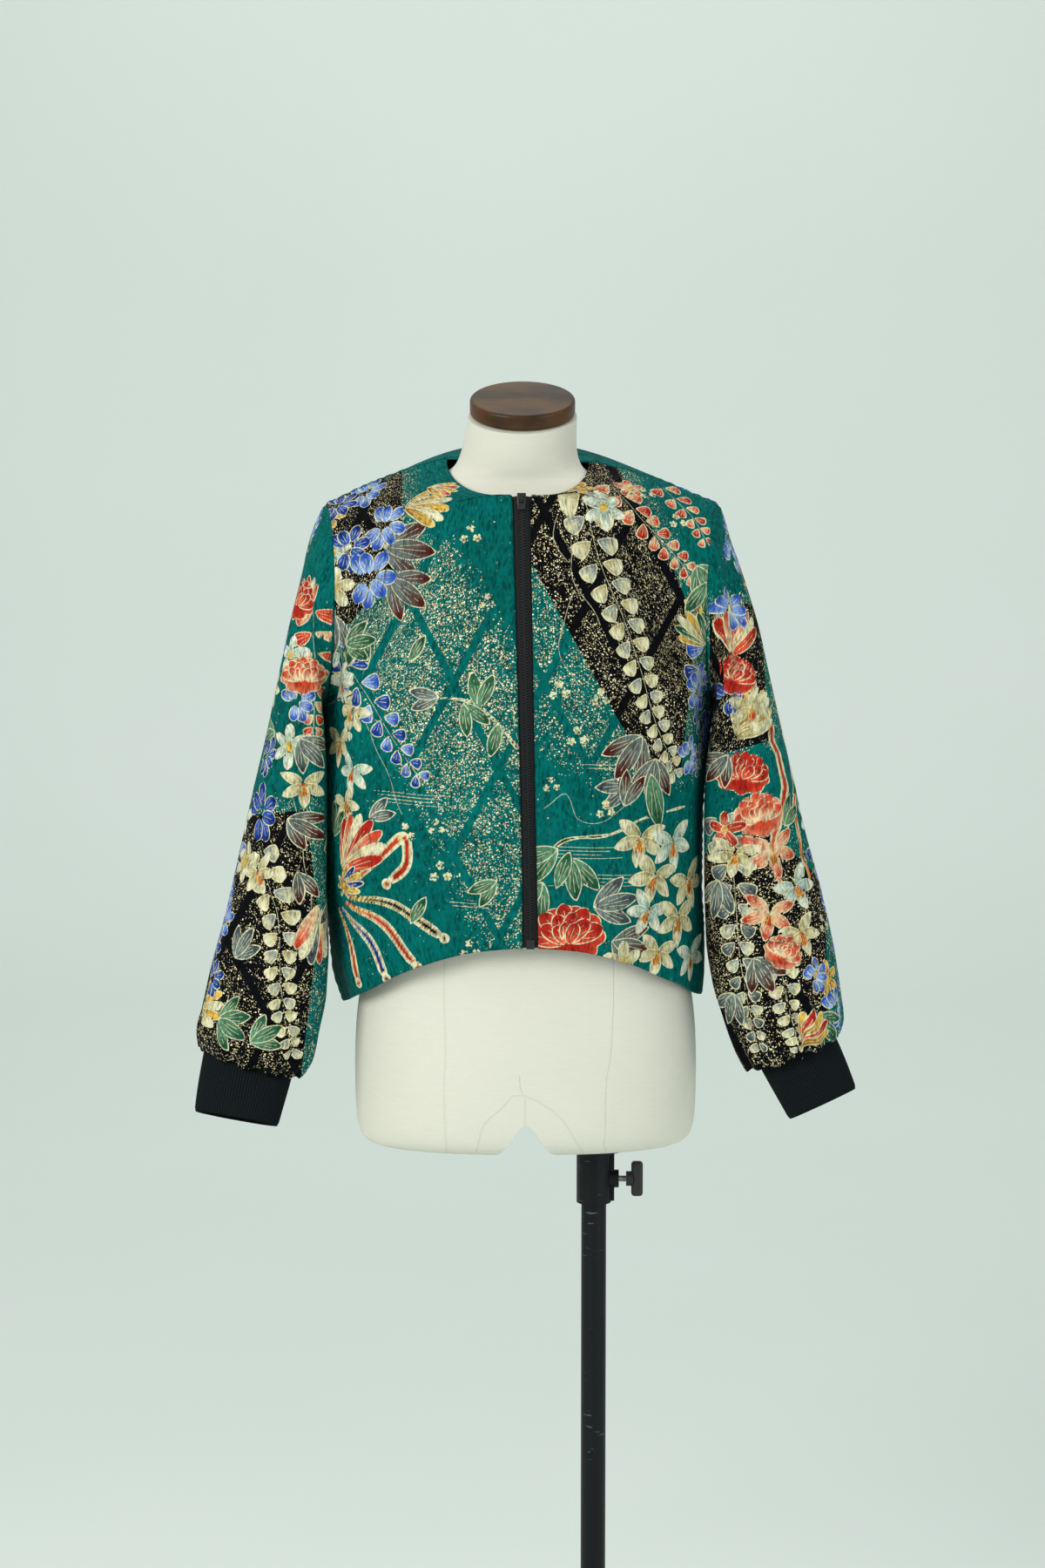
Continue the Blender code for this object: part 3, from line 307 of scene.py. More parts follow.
# Each sleeve: a row is one girth of the sleeve. down runs from the armhole at 0 to the cuff seam
# at 1, swing is how far the outer side lies behind the inner one, set_in is how far the front and
# the back of the girth lie towards the body, and tuck how far its inner front wraps the body.
SLEEVE_COLUMNS = (
    "down", "outer_x", "outer_z", "inner_x", "inner_z", "middle_y", "swing", "front", "back", "set_in", "tuck"
)
SLEEVES = {
    "right": (
        (0.000, 0.1920, 1.2995, 0.1960, 1.107, 0.0040, 0.000, 0.070, 0.068, 0.0135, 0.0000),
        (0.050, 0.2020, 1.2830, 0.1998, 1.101, 0.0035, 0.000, 0.071, 0.069, 0.0100, 0.0010),
        (0.100, 0.2090, 1.2630, 0.2003, 1.094, 0.0020, 0.000, 0.071, 0.069, 0.0060, 0.0045),
        (0.180, 0.2165, 1.2300, 0.2003, 1.080, 0.0000, 0.000, 0.070, 0.068, 0.0020, 0.0130),
        (0.270, 0.2265, 1.1880, 0.1996, 1.058, -0.004, 0.000, 0.068, 0.067, 0.0000, 0.0210),
        (0.380, 0.2385, 1.1330, 0.1985, 1.025, -0.009, 0.002, 0.065, 0.065, 0.0000, 0.0240),
        (0.500, 0.2520, 1.0690, 0.1978, 0.981, -0.014, 0.004, 0.062, 0.062, 0.0000, 0.0230),
        (0.620, 0.2695, 0.9920, 0.1960, 0.930, -0.019, 0.006, 0.060, 0.060, 0.0000, 0.0220),
        (0.740, 0.2885, 0.9140, 0.1930, 0.878, -0.024, 0.008, 0.058, 0.058, 0.0000, 0.0220),
        (0.840, 0.3045, 0.8550, 0.1940, 0.835, -0.029, 0.010, 0.057, 0.057, 0.0000, 0.0180),
        (0.910, 0.3130, 0.8120, 0.2000, 0.797, -0.033, 0.012, 0.056, 0.056, 0.0000, 0.0100),
        (0.960, 0.3172, 0.7900, 0.2065, 0.768, -0.037, 0.014, 0.053, 0.053, 0.0000, 0.0040),
        (0.985, 0.3158, 0.7765, 0.2145, 0.754, -0.0385, 0.016, 0.042, 0.042, 0.0000, 0.0000),
    ),
    "left": (
        (0.000, 0.1850, 1.2995, 0.1820, 1.109, 0.0040, 0.000, 0.070, 0.068, 0.0125, 0.0000),
        (0.050, 0.1915, 1.2830, 0.1857, 1.103, 0.0035, 0.000, 0.071, 0.069, 0.0095, 0.0010),
        (0.100, 0.1975, 1.2650, 0.1864, 1.096, 0.0020, 0.000, 0.071, 0.069, 0.0060, 0.0045),
        (0.180, 0.2075, 1.2390, 0.1855, 1.082, 0.0000, 0.000, 0.070, 0.068, 0.0020, 0.0130),
        (0.270, 0.2200, 1.1970, 0.1825, 1.060, -0.004, 0.000, 0.068, 0.067, 0.0000, 0.0210),
        (0.380, 0.2340, 1.1380, 0.1795, 1.027, -0.009, 0.000, 0.065, 0.065, 0.0000, 0.0240),
        (0.500, 0.2500, 1.0700, 0.1772, 0.983, -0.014, 0.001, 0.062, 0.062, 0.0000, 0.0230),
        (0.620, 0.2680, 0.9920, 0.1766, 0.932, -0.019, 0.001, 0.060, 0.060, 0.0000, 0.0220),
        (0.740, 0.2870, 0.9230, 0.1775, 0.884, -0.024, 0.002, 0.058, 0.058, 0.0000, 0.0220),
        (0.840, 0.2985, 0.8700, 0.1830, 0.842, -0.029, 0.002, 0.057, 0.057, 0.0000, 0.0180),
        (0.910, 0.3040, 0.8300, 0.1915, 0.810, -0.033, 0.003, 0.056, 0.056, 0.0000, 0.0100),
        (0.960, 0.3064, 0.8060, 0.2010, 0.780, -0.037, 0.003, 0.055, 0.055, 0.0000, 0.0040),
        (0.985, 0.3030, 0.7920, 0.2110, 0.7585, -0.0390, 0.003, 0.047, 0.046, 0.0000, 0.0000),
    ),
}
RIDGE_DOWN = (0.0, 0.12, 0.30, 0.70, 0.92, 1.0)  # the soft crease down the front of each sleeve
RIDGE_RISE = (0.0, 0.020, 0.065, 0.070, 0.025, 0.0)
RIDGE_DEG = (90, 92, 96, 114, 118, 118)
RIDGE_WIDE_DEG = 30

# The cuffs: top centre, splay outwards, reach forwards and turn in plan, then the half sizes of the
# oval at its top and its mouth
CUFFS = {
    "right": dict(
        top=(-0.2663, -0.0385, 0.7740), splay=11, reach=16, turn=22,
        top_oval=(0.047, 0.0265), mouth=(0.043, 0.025),
    ),
    "left": dict(
        top=(0.2588, -0.0390, 0.7840), splay=25, reach=11, turn=4,
        top_oval=(0.039, 0.033), mouth=(0.035, 0.032),
    ),
}
CUFF_LONG = 66 * MM
RIB_RISE = 0.8 * MM

# %% Curves and steps
def curve_through(at, places, values):
    """A smooth curve through a table's values that never overshoots them."""
    knots = np.asarray(places, float)
    heights = np.asarray(values, float)
    steps = np.diff(knots)
    slopes = np.diff(heights) / steps
    product = slopes[:-1] * slopes[1:]
    total = slopes[:-1] + slopes[1:]
    tangents = np.zeros(len(knots))
    tangents[1:-1] = np.where(product > 0, 2 * product / np.where(product > 0, total, 1.0), 0.0)
    tangents[0] = slopes[0]
    tangents[-1] = slopes[-1]
    i = np.clip(np.searchsorted(knots, at, side="right") - 1, 0, len(knots) - 2)
    x = np.clip((at - knots[i]) / steps[i], 0.0, 1.0)
    return (
        heights[i] * (1 + 2 * x) * (1 - x) ** 2
        + tangents[i] * steps[i] * x * (1 - x) ** 2
        + heights[i + 1] * x * x * (3 - 2 * x)
        + tangents[i + 1] * steps[i] * x * x * (x - 1)
    )


def ease(low, high, at):
    """0 below low, 1 above high and a smooth rise between."""
    x = np.clip((np.asarray(at) - low) / (high - low), 0.0, 1.0)
    return x * x * (3 - 2 * x)


def xyz(x, y, z):
    return np.stack(np.broadcast_arrays(x, y, z), -1).astype(float)


def length_of(vectors):
    return np.linalg.norm(vectors, axis=-1)


def unit(vectors):
    return vectors / np.maximum(length_of(vectors), 1e-12)[..., None]


# %% Edges of the panels
def armhole(side, t, facing):
    """The armhole from the underarm, t 0, to the shoulder point, t 1. facing is -1 in front."""
    s = SIDES[side]
    rise = (1 - np.cos(np.pi * t)) / 2
    out = s["underarm"] + (s["shoulder"] - s["underarm"]) * rise - s["scoop"] * np.sin(np.pi * t)
    depth = 0.070 if facing < 0 else 0.068
    z = s["underarm_z"] + (s["shoulder_z"] - s["underarm_z"]) * rise
    return xyz(s["sign"] * out, SIDE_SEAM_Y + facing * depth * np.sin(np.pi * t), z)


def outer_edge(side, v, facing):
    """A panel's side seam and then its half of the armhole."""
    s = SIDES[side]
    z = s["hem_z"] + (s["underarm_z"] - s["hem_z"]) * np.minimum(v / UNDERARM, 1)
    seam = xyz(s["sign"] * curve_through(z, s["seam_z"], s["seam_x"]), SIDE_SEAM_Y, z)
    hole = armhole(side, np.clip((v - UNDERARM) / (1 - UNDERARM), 0, 1), facing)
    return np.where((v >= UNDERARM)[..., None], hole, seam)


def centre_edge(side, v, facing):
    """A front's zip edge, or the back's middle line, and then its half of the neckline."""
    s = SIDES[side]
    front = facing < 0
    neck = NECK_FRONT if front else NECK_BACK
    low_z, neck_z = (CENTRE_HEM_Z, NECK_FRONT_Z) if front else (BACK_HEM_Z, NECK_BACK_Z)
    z = low_z + (neck_z - low_z) * np.minimum(v / neck, 1)
    if front:
        x = curve_through(z, ZIP_Z, ZIP_X) + s["sign"] * curve_through(z, ZIP_Z, ZIP_HALF)
        y = -curve_through(z, PROFILE_Z, PROFILE_FRONT)
    else:
        x = NECK_X + 0 * z
        y = curve_through(z, PROFILE_Z, PROFILE_BACK)
    angle = np.pi / 2 * np.clip((v - neck) / (1 - neck), 0, 1)
    x = x + (NECK_X + s["sign"] * NECK_HALF - x) * np.sin(angle)
    y = NECK_SIDE_Y + (y - NECK_SIDE_Y) * np.cos(angle)
    z = z + (s["neck_side_z"] - neck_z) * (1 - np.cos(angle)) ** (1.2 if front else 1.0)
    return xyz(x, y, z)


# %% [markdown]
# Each row of a panel is one cubic curve. It leaves the middle square on and meets the side seam
# from straight ahead, which gives the boxy round of a blouson. Above the underarm the same curve
# turns by degrees into the shoulder seam.

# %% Panels and sleeves as functions
def panel_point(side, u, v, facing):
    """Points of a front or of half the back: u from the centre to the side, v from hem to shoulder."""
    inner = centre_edge(side, v, facing)
    outer = outer_edge(side, v, facing)
    chord = outer - inner
    at_neck = ease(NECK_FRONT if facing < 0 else NECK_BACK, 1.0, v)
    at_arm = ease(UNDERARM, 1.0, v)
    reach = (FULLNESS + (1 / 3 - FULLNESS) * at_arm)[..., None] * chord
    leave = reach * xyz(1.0, at_neck, at_neck)
    arrive = reach * xyz(at_arm, 1.0, at_arm)
    t = u[..., None]
    near = (1 - t) ** 3 + 3 * t * (1 - t) ** 2
    far = 3 * t * t * (1 - t) + t ** 3
    point = near * inner + 3 * t * (1 - t) ** 2 * leave + far * outer - 3 * t * t * (1 - t) * arrive
    point[..., 2] += SHOULDER_RISE * at_arm * 4 * u * (1 - u)
    hanging = (1 - ease(0.0, UNDERARM * 1.2, v)) * ease(0.30, 0.55, u) * (1 - ease(0.86, 1.0, u))
    waves = 2 if facing < 0 else 3
    start = 0.6 if side == "right" else 2.2
    point[..., 1] += facing * 4.5 * MM * hanging * np.sin(2 * np.pi * waves * u + start)
    return point


def cuff_frame(side):
    """The cuff's way down and the two half axes' directions, outwards and forwards."""
    cuff = CUFFS[side]
    sign = SIDES[side]["sign"]
    splay, reach, turn = (math.radians(cuff[name]) for name in ("splay", "reach", "turn"))
    down = Vector((sign * math.sin(splay), -math.sin(reach), -math.cos(splay) * math.cos(reach))).normalized()
    out = Vector((sign * math.cos(turn), math.sin(turn), 0.0))
    out = (out - down * out.dot(down)).normalized()
    forward = down.cross(out) * sign
    if forward.y > 0:
        forward = -forward
    return np.array(down), np.array(out), np.array(forward)


def cuff_point(side, angle, below, swell=0.0):
    """Points of a cuff's wall: angle 0 is its outer end, below is how far down from the seam."""
    cuff = CUFFS[side]
    down, out, forward = cuff_frame(side)
    part = below / CUFF_LONG
    wide, deep = ((a + (b - a) * part + swell) for a, b in zip(cuff["top_oval"], cuff["mouth"]))
    centre = np.array(cuff["top"]) + down * np.asarray(below)[..., None]
    return centre + out * (wide * np.cos(angle))[..., None] + forward * (deep * np.sin(angle))[..., None]


def sleeve_point(side, angle, down):
    """Points of a sleeve: angle 0 is its outer line, a quarter turn on is its front."""
    table = np.array(SLEEVES[side])
    last = table[-1, 0]
    at = np.minimum(down, last)
    r = {name: curve_through(at, table[:, 0], table[:, k]) for k, name in enumerate(SLEEVE_COLUMNS)}
    sign = SIDES[side]["sign"]
    outer = xyz(sign * r["outer_x"], r["middle_y"] + r["swing"], r["outer_z"])
    inner = xyz(sign * r["inner_x"], r["middle_y"] - r["swing"], r["inner_z"])
    ridge_at = np.radians(curve_through(at, RIDGE_DOWN, RIDGE_DEG))
    away = (angle - ridge_at) / math.radians(RIDGE_WIDE_DEG)
    swell = 1 + curve_through(at, RIDGE_DOWN, RIDGE_RISE) * np.exp(-away * away)
    depth = np.where(np.sin(angle) > 0, r["front"], r["back"])
    wrap = np.maximum(np.sin(angle), 0.0) * (1 - np.cos(angle)) / 2
    towards_body = sign * (r["set_in"] * np.abs(np.sin(angle)) + r["tuck"] * wrap)
    point = (outer + inner) / 2 + (outer - inner) / 2 * (np.cos(angle) * swell)[..., None]
    point = point + xyz(-towards_body, -np.sin(angle) * depth * swell, 0.0)
    seam = cuff_point(side, angle, 0.0 * down, SEAM_SWELL)
    return point + (seam - point) * np.clip((down - last) / (1 - last), 0, 1)[..., None]


SEAM_SWELL = RIB_RISE + 0.9 * MM
print("panels and sleeves ready")

# %% [markdown]
# ## A grid that becomes cloth
#
# Blender's grid operator makes a flat, even sheet with a UV map. Its own x and y are read as the
# place on the cut piece, and every point moves to that place on the body. Folds are then pushed in
# along the surface's normals, so a fold keeps its depth wherever the cloth turns.

# %% From a grid to a shell
def as_mesh(bm, name):
    """Turns a bmesh into a new mesh and frees it."""
    mesh = bpy.data.meshes.new(name)
    bm.to_mesh(mesh)
    bm.free()
    return mesh


def grid_mesh(name, across, along):
    """A flat grid with a UV map named cloth."""
    bm = bmesh.new()
    bm.loops.layers.uv.new("cloth")
    bmesh.ops.create_grid(bm, x_segments=across, y_segments=along, size=1.0, calc_uvs=True)
    return as_mesh(bm, name)


def read_points(mesh):
    flat = np.empty(len(mesh.vertices) * 3)
    mesh.vertices.foreach_get("co", flat)
    return flat.reshape(-1, 3)


def shape_grid(name, across, along, place, folds, size):
    """Moves a grid's points to place(u, v) and adds folds(points, normals, u, v) along the normals."""
    mesh = grid_mesh(name, across, along)
    flat = (read_points(mesh) + 1) / 2
    order = np.lexsort((np.round(flat[:, 0], 6), np.round(flat[:, 1], 6)))
    columns = len(np.unique(np.round(flat[:, 0], 6)))
    u = flat[order, 0].reshape(-1, columns)
    v = flat[order, 1].reshape(-1, columns)
    points = place(u, v)
    normals = unit(np.cross(np.gradient(points, axis=1), np.gradient(points, axis=0)))
    points = points + normals * folds(points, normals, u, v)[..., None]
    placed = np.empty_like(flat)
    placed[order] = points.reshape(-1, 3)
    mesh.vertices.foreach_set("co", placed.ravel())
    cloth = mesh.uv_layers["cloth"].data
    plan = np.empty(len(cloth) * 2)
    cloth.foreach_get("uv", plan)
    cloth.foreach_set("uv", (plan.reshape(-1, 2) * np.array(size)).ravel())
    mesh.update()
    return mesh


def no_folds(points, normals, u, v):
    return 0 * u


def close_tube(mesh):
    """Merges the first and last columns of a rolled grid."""
    bm = bmesh.new()
    bm.from_mesh(mesh)
    bmesh.ops.remove_doubles(bm, verts=bm.verts, dist=0.01 * MM)
    bm.to_mesh(mesh)
    bm.free()


def show(name, mesh, body, slot, *finishes):
    """Puts a mesh in the scene as a piece that rides on a body."""
    for finish in finishes:
        mesh.materials.append(finish.material)
    mesh.shade_smooth()
    piece = bpy.data.objects.new(name, mesh)
    bpy.context.scene.collection.objects.link(piece)
    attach(piece, body)
    return piece


def give_wall(piece, thickness, inside_slot=0):
    wall = piece.modifiers.new("cloth wall", "SOLIDIFY")
    wall.thickness = thickness
    wall.offset = -1.0
    wall.material_offset = inside_slot


print("grid helpers ready")


# %% [markdown]
# ## Painting a print without a picture
#
# The print is dyed into the cloth, so it belongs in the material, yet flowers need outlines far
# finer than the mesh. The trick is to store distances instead of colours: each point keeps how far
# it lies from the edge of the nearest petal, positive inside and negative outside. Blender blends
# that number evenly between points, and the shader draws a thin line where it passes zero. Four
# such channels keep neighbouring petals apart, and a second attribute holds the fill colours.

# %% Signed shapes
LINE_ZONE = 2.6 * MM  # how near an edge its distance stays true
STEEPNESS = 20
FAR = 1.0
OFF_SHAPE = -3 * MM  # outside, and further off than a line reaches
FILL_MARGIN = 1.9 * MM  # how far a fill spreads past its edge, under the outline
PIXEL = 0.815 * MM  # one pixel of the photo, at the cloth


def steep(distance):
    """Leaves a distance true near an edge and makes it huge further off."""
    beyond = np.maximum(np.abs(distance) - LINE_ZONE, 0)
    return distance + np.sign(distance) * beyond * STEEPNESS


def leaf_distance(across, along, long, wide):
    """A pointed leaf between two arcs, from its base at 0 to its tip."""
    radius = (long * long + wide * wide) / (4 * wide)
    return radius - np.hypot(np.abs(across) + radius - wide / 2, along - long / 2)


def petal_distance(across, along, long, wide):
    """A petal with a narrow base and a round tip."""
    t = np.clip(along / long, 0.02, 1)
    half = wide / 2 * np.sqrt(np.maximum(1 - (2 * t ** 0.75 - 1) ** 2, 0)) * (0.55 + 0.45 * t)
    side = (half - np.abs(across)) * 0.85
    beyond = np.maximum(along - long, -along)
    inside = np.minimum(side, long - along + 0.4 * half)
    return np.where(beyond > 0, -np.hypot(beyond, np.abs(across)), inside)


def shell_distance(across, along, long, wide):
    """A shell petal that widens to a softly rounded end."""
    half = wide / 2 * np.sin(np.pi / 2 * np.clip(along / long / 0.8, 0.03, 1)) ** 0.9
    end = long * (0.86 + 0.14 * np.cos(np.pi * across / wide)) - along
    inside = np.minimum((half - np.abs(across)) * 0.8, end)
    return np.where(along < 0, -np.hypot(along, across), inside)


def frilled_distance(across, along, radius, frills, depth):
    """A round flower with a wavy edge."""
    from_centre = np.hypot(across, along)
    edge = radius * (1 + depth * np.abs(np.sin(frills / 2 * np.arctan2(across, along))))
    return (edge - from_centre) * 0.9


def outline_distance(places, corners):
    """The signed distance to a closed outline of corners, positive inside."""
    corners = np.array(corners, float)
    nearest = np.full(len(places), np.inf)
    inside = np.zeros(len(places), bool)
    for a, b in zip(corners, np.roll(corners, -1, axis=0)):
        step = b - a
        t = np.clip(((places - a) @ step) / (step @ step), 0, 1)
        nearest = np.minimum(nearest, np.linalg.norm(places - a - t[:, None] * step, axis=1))
        crosses = (a[1] > places[:, 1]) != (b[1] > places[:, 1])
        with np.errstate(divide="ignore", invalid="ignore"):
            at = a[0] + (places[:, 1] - a[1]) / (b[1] - a[1]) * step[0]
        inside ^= crosses & (places[:, 0] < at)
    return np.where(inside, nearest, -nearest)


# %% [markdown]
# Places on the cloth are given as the eye of the camera sees them: so many pixels across and down
# in the photo's frame of 1200 by 1800. The canvas finds the nearest point of the cloth there and
# works in its tangent plane, so that a flower stays round where the cloth turns away. For the back
# the garment is turned by half a turn first.

# %% The canvas
def picture_of(points, facing):
    """Where points show in the photo's frame, from the front or from behind if facing is 1."""
    way = points * np.array((-facing, -facing, 1.0)) - np.array(EYE)
    ahead = way[..., 1] * math.cos(TILT) - way[..., 2] * math.sin(TILT)
    up = way[..., 1] * math.sin(TILT) + way[..., 2] * math.cos(TILT)
    across = PHOTO_WIDE / 2 + PIXELS_PER_RISE * way[..., 0] / ahead
    return np.stack((across, PHOTO_TALL / 2 - PIXELS_PER_RISE * up / ahead), -1)


class Canvas:
    """One piece of cloth and the print on it."""

    def __init__(self, mesh):
        self.mesh = mesh
        self.points = read_points(mesh)
        flat = np.empty(len(mesh.vertices) * 3)
        mesh.vertex_normals.foreach_get("vector", flat)
        self.normals = flat.reshape(-1, 3)
        count = len(self.points)
        self.colour = np.zeros((count, 4))
        self.edges = np.full((count, 4), -FAR)
        self.lines = np.full((count, 4), FAR)
        self.ground = np.zeros((count, 4))
        self.ground[:, (0, 2)] = -FAR
        self.views = {facing: picture_of(self.points, facing) for facing in (-1, 1)}

    def spot(self, across, down, facing):
        """The point of the cloth at a place in the picture, hidden points last."""
        miss = np.linalg.norm(self.views[facing] - (across, down), axis=1)
        miss[self.normals[:, 1] * facing < 0.03] += PHOTO_WIDE + PHOTO_TALL
        return int(np.argmin(miss))

    def compass(self, spot):
        """The ways that are right and up on the cloth at a spot."""
        normal = self.normals[spot]
        up = np.array((0.0, 0.0, 1.0)) - normal * normal[2]
        up = up / np.linalg.norm(up)
        return np.cross(up, normal), up

    def around(self, spot, reach):
        """The points near a spot, and their places to its right and above it, on the cloth."""
        right, up = self.compass(spot)
        away = self.points - self.points[spot]
        same_side = self.normals @ self.normals[spot] > 0.15
        near = np.flatnonzero((np.abs(away).max(axis=1) < reach) & same_side)
        return near, away[near] @ right, away[near] @ up

    def shape(self, near, distance, colour, gilt=0.0):
        """Lays one closed shape over the print. gilt turns its outline from cream to gold."""
        inside = distance > 0
        band = distance > -LINE_ZONE
        beside = near[band & ~inside]
        clash = [np.count_nonzero(self.edges[beside, k] > 0) for k in range(4)]
        channel = int(np.argmin(clash))
        inner = near[inside]
        self.edges[inner] = np.where(self.edges[inner] > 0, FAR, -FAR)
        self.edges[near[band], channel] = steep(distance[band])
        self.lines[inner] = FAR
        bare = self.edges[near].max(axis=1) <= 0
        fill = inside | (bare & (distance > -FILL_MARGIN))
        self.colour[near[fill], :3] = colour[fill] if np.ndim(colour) == 2 else colour
        self.colour[near[fill], 3] = gilt

    def line(self, near, side, where, channel):
        """Draws a thin line where the distance to one side of it passes zero."""
        where = where & (np.abs(side) < LINE_ZONE)
        self.lines[near[where], channel] = side[where]

    def route(self, places, facing):
        """A smooth path over the cloth through places in the picture."""
        knots = np.array([self.points[self.spot(*place, facing)] for place in places])
        knots = np.vstack((2 * knots[0] - knots[1], knots, 2 * knots[-1] - knots[-2]))
        path = []
        for a, b, c, d in zip(knots, knots[1:], knots[2:], knots[3:]):
            for t in np.linspace(0, 1, 8, endpoint=False):
                path.append(0.5 * (2 * b + (c - a) * t + (2 * a - 5 * b + 4 * c - d) * t * t
                                   + (3 * b - a - 3 * c + d) * t ** 3))
        path.append(knots[-2])
        return np.array(path)

    def beside(self, path, reach):
        """The points near a path, how far to its side they lie, how far along, and the path's length."""
        low, high = path.min(axis=0) - reach, path.max(axis=0) + reach
        near = np.flatnonzero(np.all((self.points > low) & (self.points < high), axis=1))
        side = np.full(len(near), FAR)
        along = np.zeros(len(near))
        best = np.full(len(near), np.inf)
        start = 0.0
        for a, b in zip(path[:-1], path[1:]):
            step = b - a
            long = np.linalg.norm(step)
            way = self.points[near] - a
            t = np.clip(way @ step / long ** 2, 0, 1)
            miss = way - t[:, None] * step
            normal = self.normals[near]
            miss = miss - normal * np.sum(miss * normal, axis=1)[:, None]
            gap = np.linalg.norm(miss, axis=1)
            closer = gap < best
            sign = np.sign(np.sum(np.cross(normal, step) * miss, axis=1))
            side = np.where(closer, sign * gap, side)
            along = np.where(closer, start + t * long, along)
            best = np.minimum(best, gap)
            start += long
        kept = best < reach
        return near[kept], side[kept], along[kept], start

    def store(self):
        for name, values in (("print_colour", self.colour), ("print_edges", self.edges),
                             ("print_lines", self.lines), ("print_ground", self.ground)):
            layer = self.mesh.attributes.new(name, "FLOAT_COLOR", "POINT")
            layer.data.foreach_set("color", values.astype(np.float32).ravel())


print("canvas ready")

# %% [markdown]
# ## The dyer's motifs
#
# Yuzen-style prints are drawn petal by petal: a pale root, a strong tip, a thin resist line left
# cream or gilded. Each motif here is a short function that lays shapes on the canvas, and all of
# them are ordinary flowers, leaves, wisteria, feathers and mist bands.

# %% Colours of the dyes
DYES = {
    # name: root, tip
    "blue": (dye("8FB0E0"), dye("2450B4")),
    "deep_blue": (dye("3A64B8"), dye("12307E")),
    "red": (dye("E25A3C"), dye("A8241C")),
    "cream": (dye("A2965C"), dye("E0DAB6")),
    "white": (dye("7FA79C"), dye("E2E5D2")),
    "gold": (dye("8E5D17"), dye("DDB24A")),
    "grey": (dye("7C8A86"), dye("3E4A50")),
    "grey_red": (dye("6C7B78"), dye("4C1A18")),
    "green": (dye("5F8F6E"), dye("1B5038")),
    "mist": (dye("64788C"), dye("CFCBA2")),
    "black": (dye("33302B"), dye("0C0D10")),
    "pale_red": (dye("E8C79A"), dye("C8452C")),
    "pale_gold": (dye("B8A55C"), dye("E6DDAC")),
}


def graded(name, share):
    """A dye from its root to its tip."""
    root, tip = (np.array(c) for c in DYES[name])
    share = np.clip(share, 0, 1)[:, None]
    return root + (tip - root) * share * share * (3 - 2 * share)


def turned(right, up, degrees):
    """Places across and along a direction. 0 is up and 90 to the right."""
    angle = math.radians(degrees)
    return right * math.cos(angle) - up * math.sin(angle), right * math.sin(angle) + up * math.cos(angle)


# %% Motifs
VEINED_FROM = 11 * MM  # shorter petals have a middle line only


def lay_petal(canvas, near, right, up, degrees, long, wide, name, outline=petal_distance, start=0.0):
    """A petal or a leaf with its veins, rooted at the origin of right and up."""
    across, along = turned(right, up, degrees)
    along = along - start
    distance = outline(across, along, long, wide)
    canvas.shape(near, distance, graded(name, along / long + 0.12 * np.cos(across / wide * 9)))
    inner = (distance > 0.8 * MM) & (along < 0.8 * long)
    canvas.line(near, across, inner & (along > 0.12 * long), 0)
    if long > VEINED_FROM:
        spread = across - np.sign(across) * along * wide / long * 0.42
        canvas.line(near, np.where(across > 0, spread, FAR), inner & (along > 0.3 * long), 1)
        canvas.line(near, np.where(across < 0, spread, FAR), inner & (along > 0.3 * long), 2)


def flower(canvas, spot, size, degrees, name, petals=5, pointed=False):
    """An open flower: a ring of petals and a gold eye."""
    near, right, up = canvas.around(spot, size * 1.3)
    outline = leaf_distance if pointed else petal_distance
    wide = size * (2.0 if pointed else 2.7) / petals * 1.25
    for k in range(petals):
        lay_petal(canvas, near, right, up, degrees + 360 * k / petals, size, wide, name, outline)
    eye = 0.17 * size
    canvas.shape(near, frilled_distance(right, up, eye, 8, 0.2), np.array(dye("D8B24C")), 1.0)


def peony(canvas, spot, size, degrees, name):
    """A full flower: a frilled skirt and cupped petals that rise over it."""
    near, right, up = canvas.around(spot, size * 1.5)
    across, along = turned(right, up, degrees)
    canvas.shape(near, frilled_distance(across, along * 1.25, size * 0.86, 9, 0.16),
                 graded(name, 1.4 - np.hypot(across, along) / size))
    for row, (count, long, lift) in enumerate(((5, 0.92, -0.10), (4, 0.75, -0.16), (3, 0.55, -0.20))):
        for k in range(count):
            lean = (k - (count - 1) / 2) * (38 - 5 * row)
            wide = size * (0.62 - 0.08 * row)
            lay_petal(canvas, near, across, along - lift * size, lean, size * long, wide, name,
                      start=0.04 * size)


def leaves(canvas, spot, size, degrees, name, count=1, spread=34):
    """One leaf, or a fan of them from one root."""
    near, right, up = canvas.around(spot, size * 1.15)
    order = sorted(range(count), key=lambda k: -abs(k - (count - 1) / 2))
    for k in order:
        lean = degrees + (k - (count - 1) / 2) * spread
        long = size * (1 - 0.10 * abs(k - (count - 1) / 2))
        lay_petal(canvas, near, right, up, lean, long, long * 0.36, name, leaf_distance)


def cluster(canvas, spot, size, degrees, name):
    """A head of overlapping shell petals that open in all directions."""
    near, right, up = canvas.around(spot, size * 1.5)
    for k in range(7):
        turn = degrees + 137.5 * k
        away = 0.52 * size * math.sqrt(1 - k / 7)
        across, along = turned(right, up, turn)
        lay_petal(canvas, near, across, along - away * 0.6, 20 * math.sin(k), size * 0.68, size * 0.60, name)


def bells(canvas, spot, size, degrees, name):
    """A hanging lily of five pointed lobes with red stamens."""
    near, right, up = canvas.around(spot, size * 1.3)
    for lean in (-118, 118, -62, 62, 0):
        lay_petal(canvas, near, right, up, degrees + lean, size * 1.15, size * 0.50, name, leaf_distance)
    across, along = turned(right, up, degrees)
    for lean in (-14, 0, 14):
        side, out = turned(across, along, lean)
        past_end = np.maximum(np.abs(out - 0.34 * size) - 0.2 * size, 0)
        stamen = 0.55 * MM + 0.03 * size - np.hypot(side, past_end)
        canvas.shape(near, stamen, np.array(dye("B93A22")), 1.0)


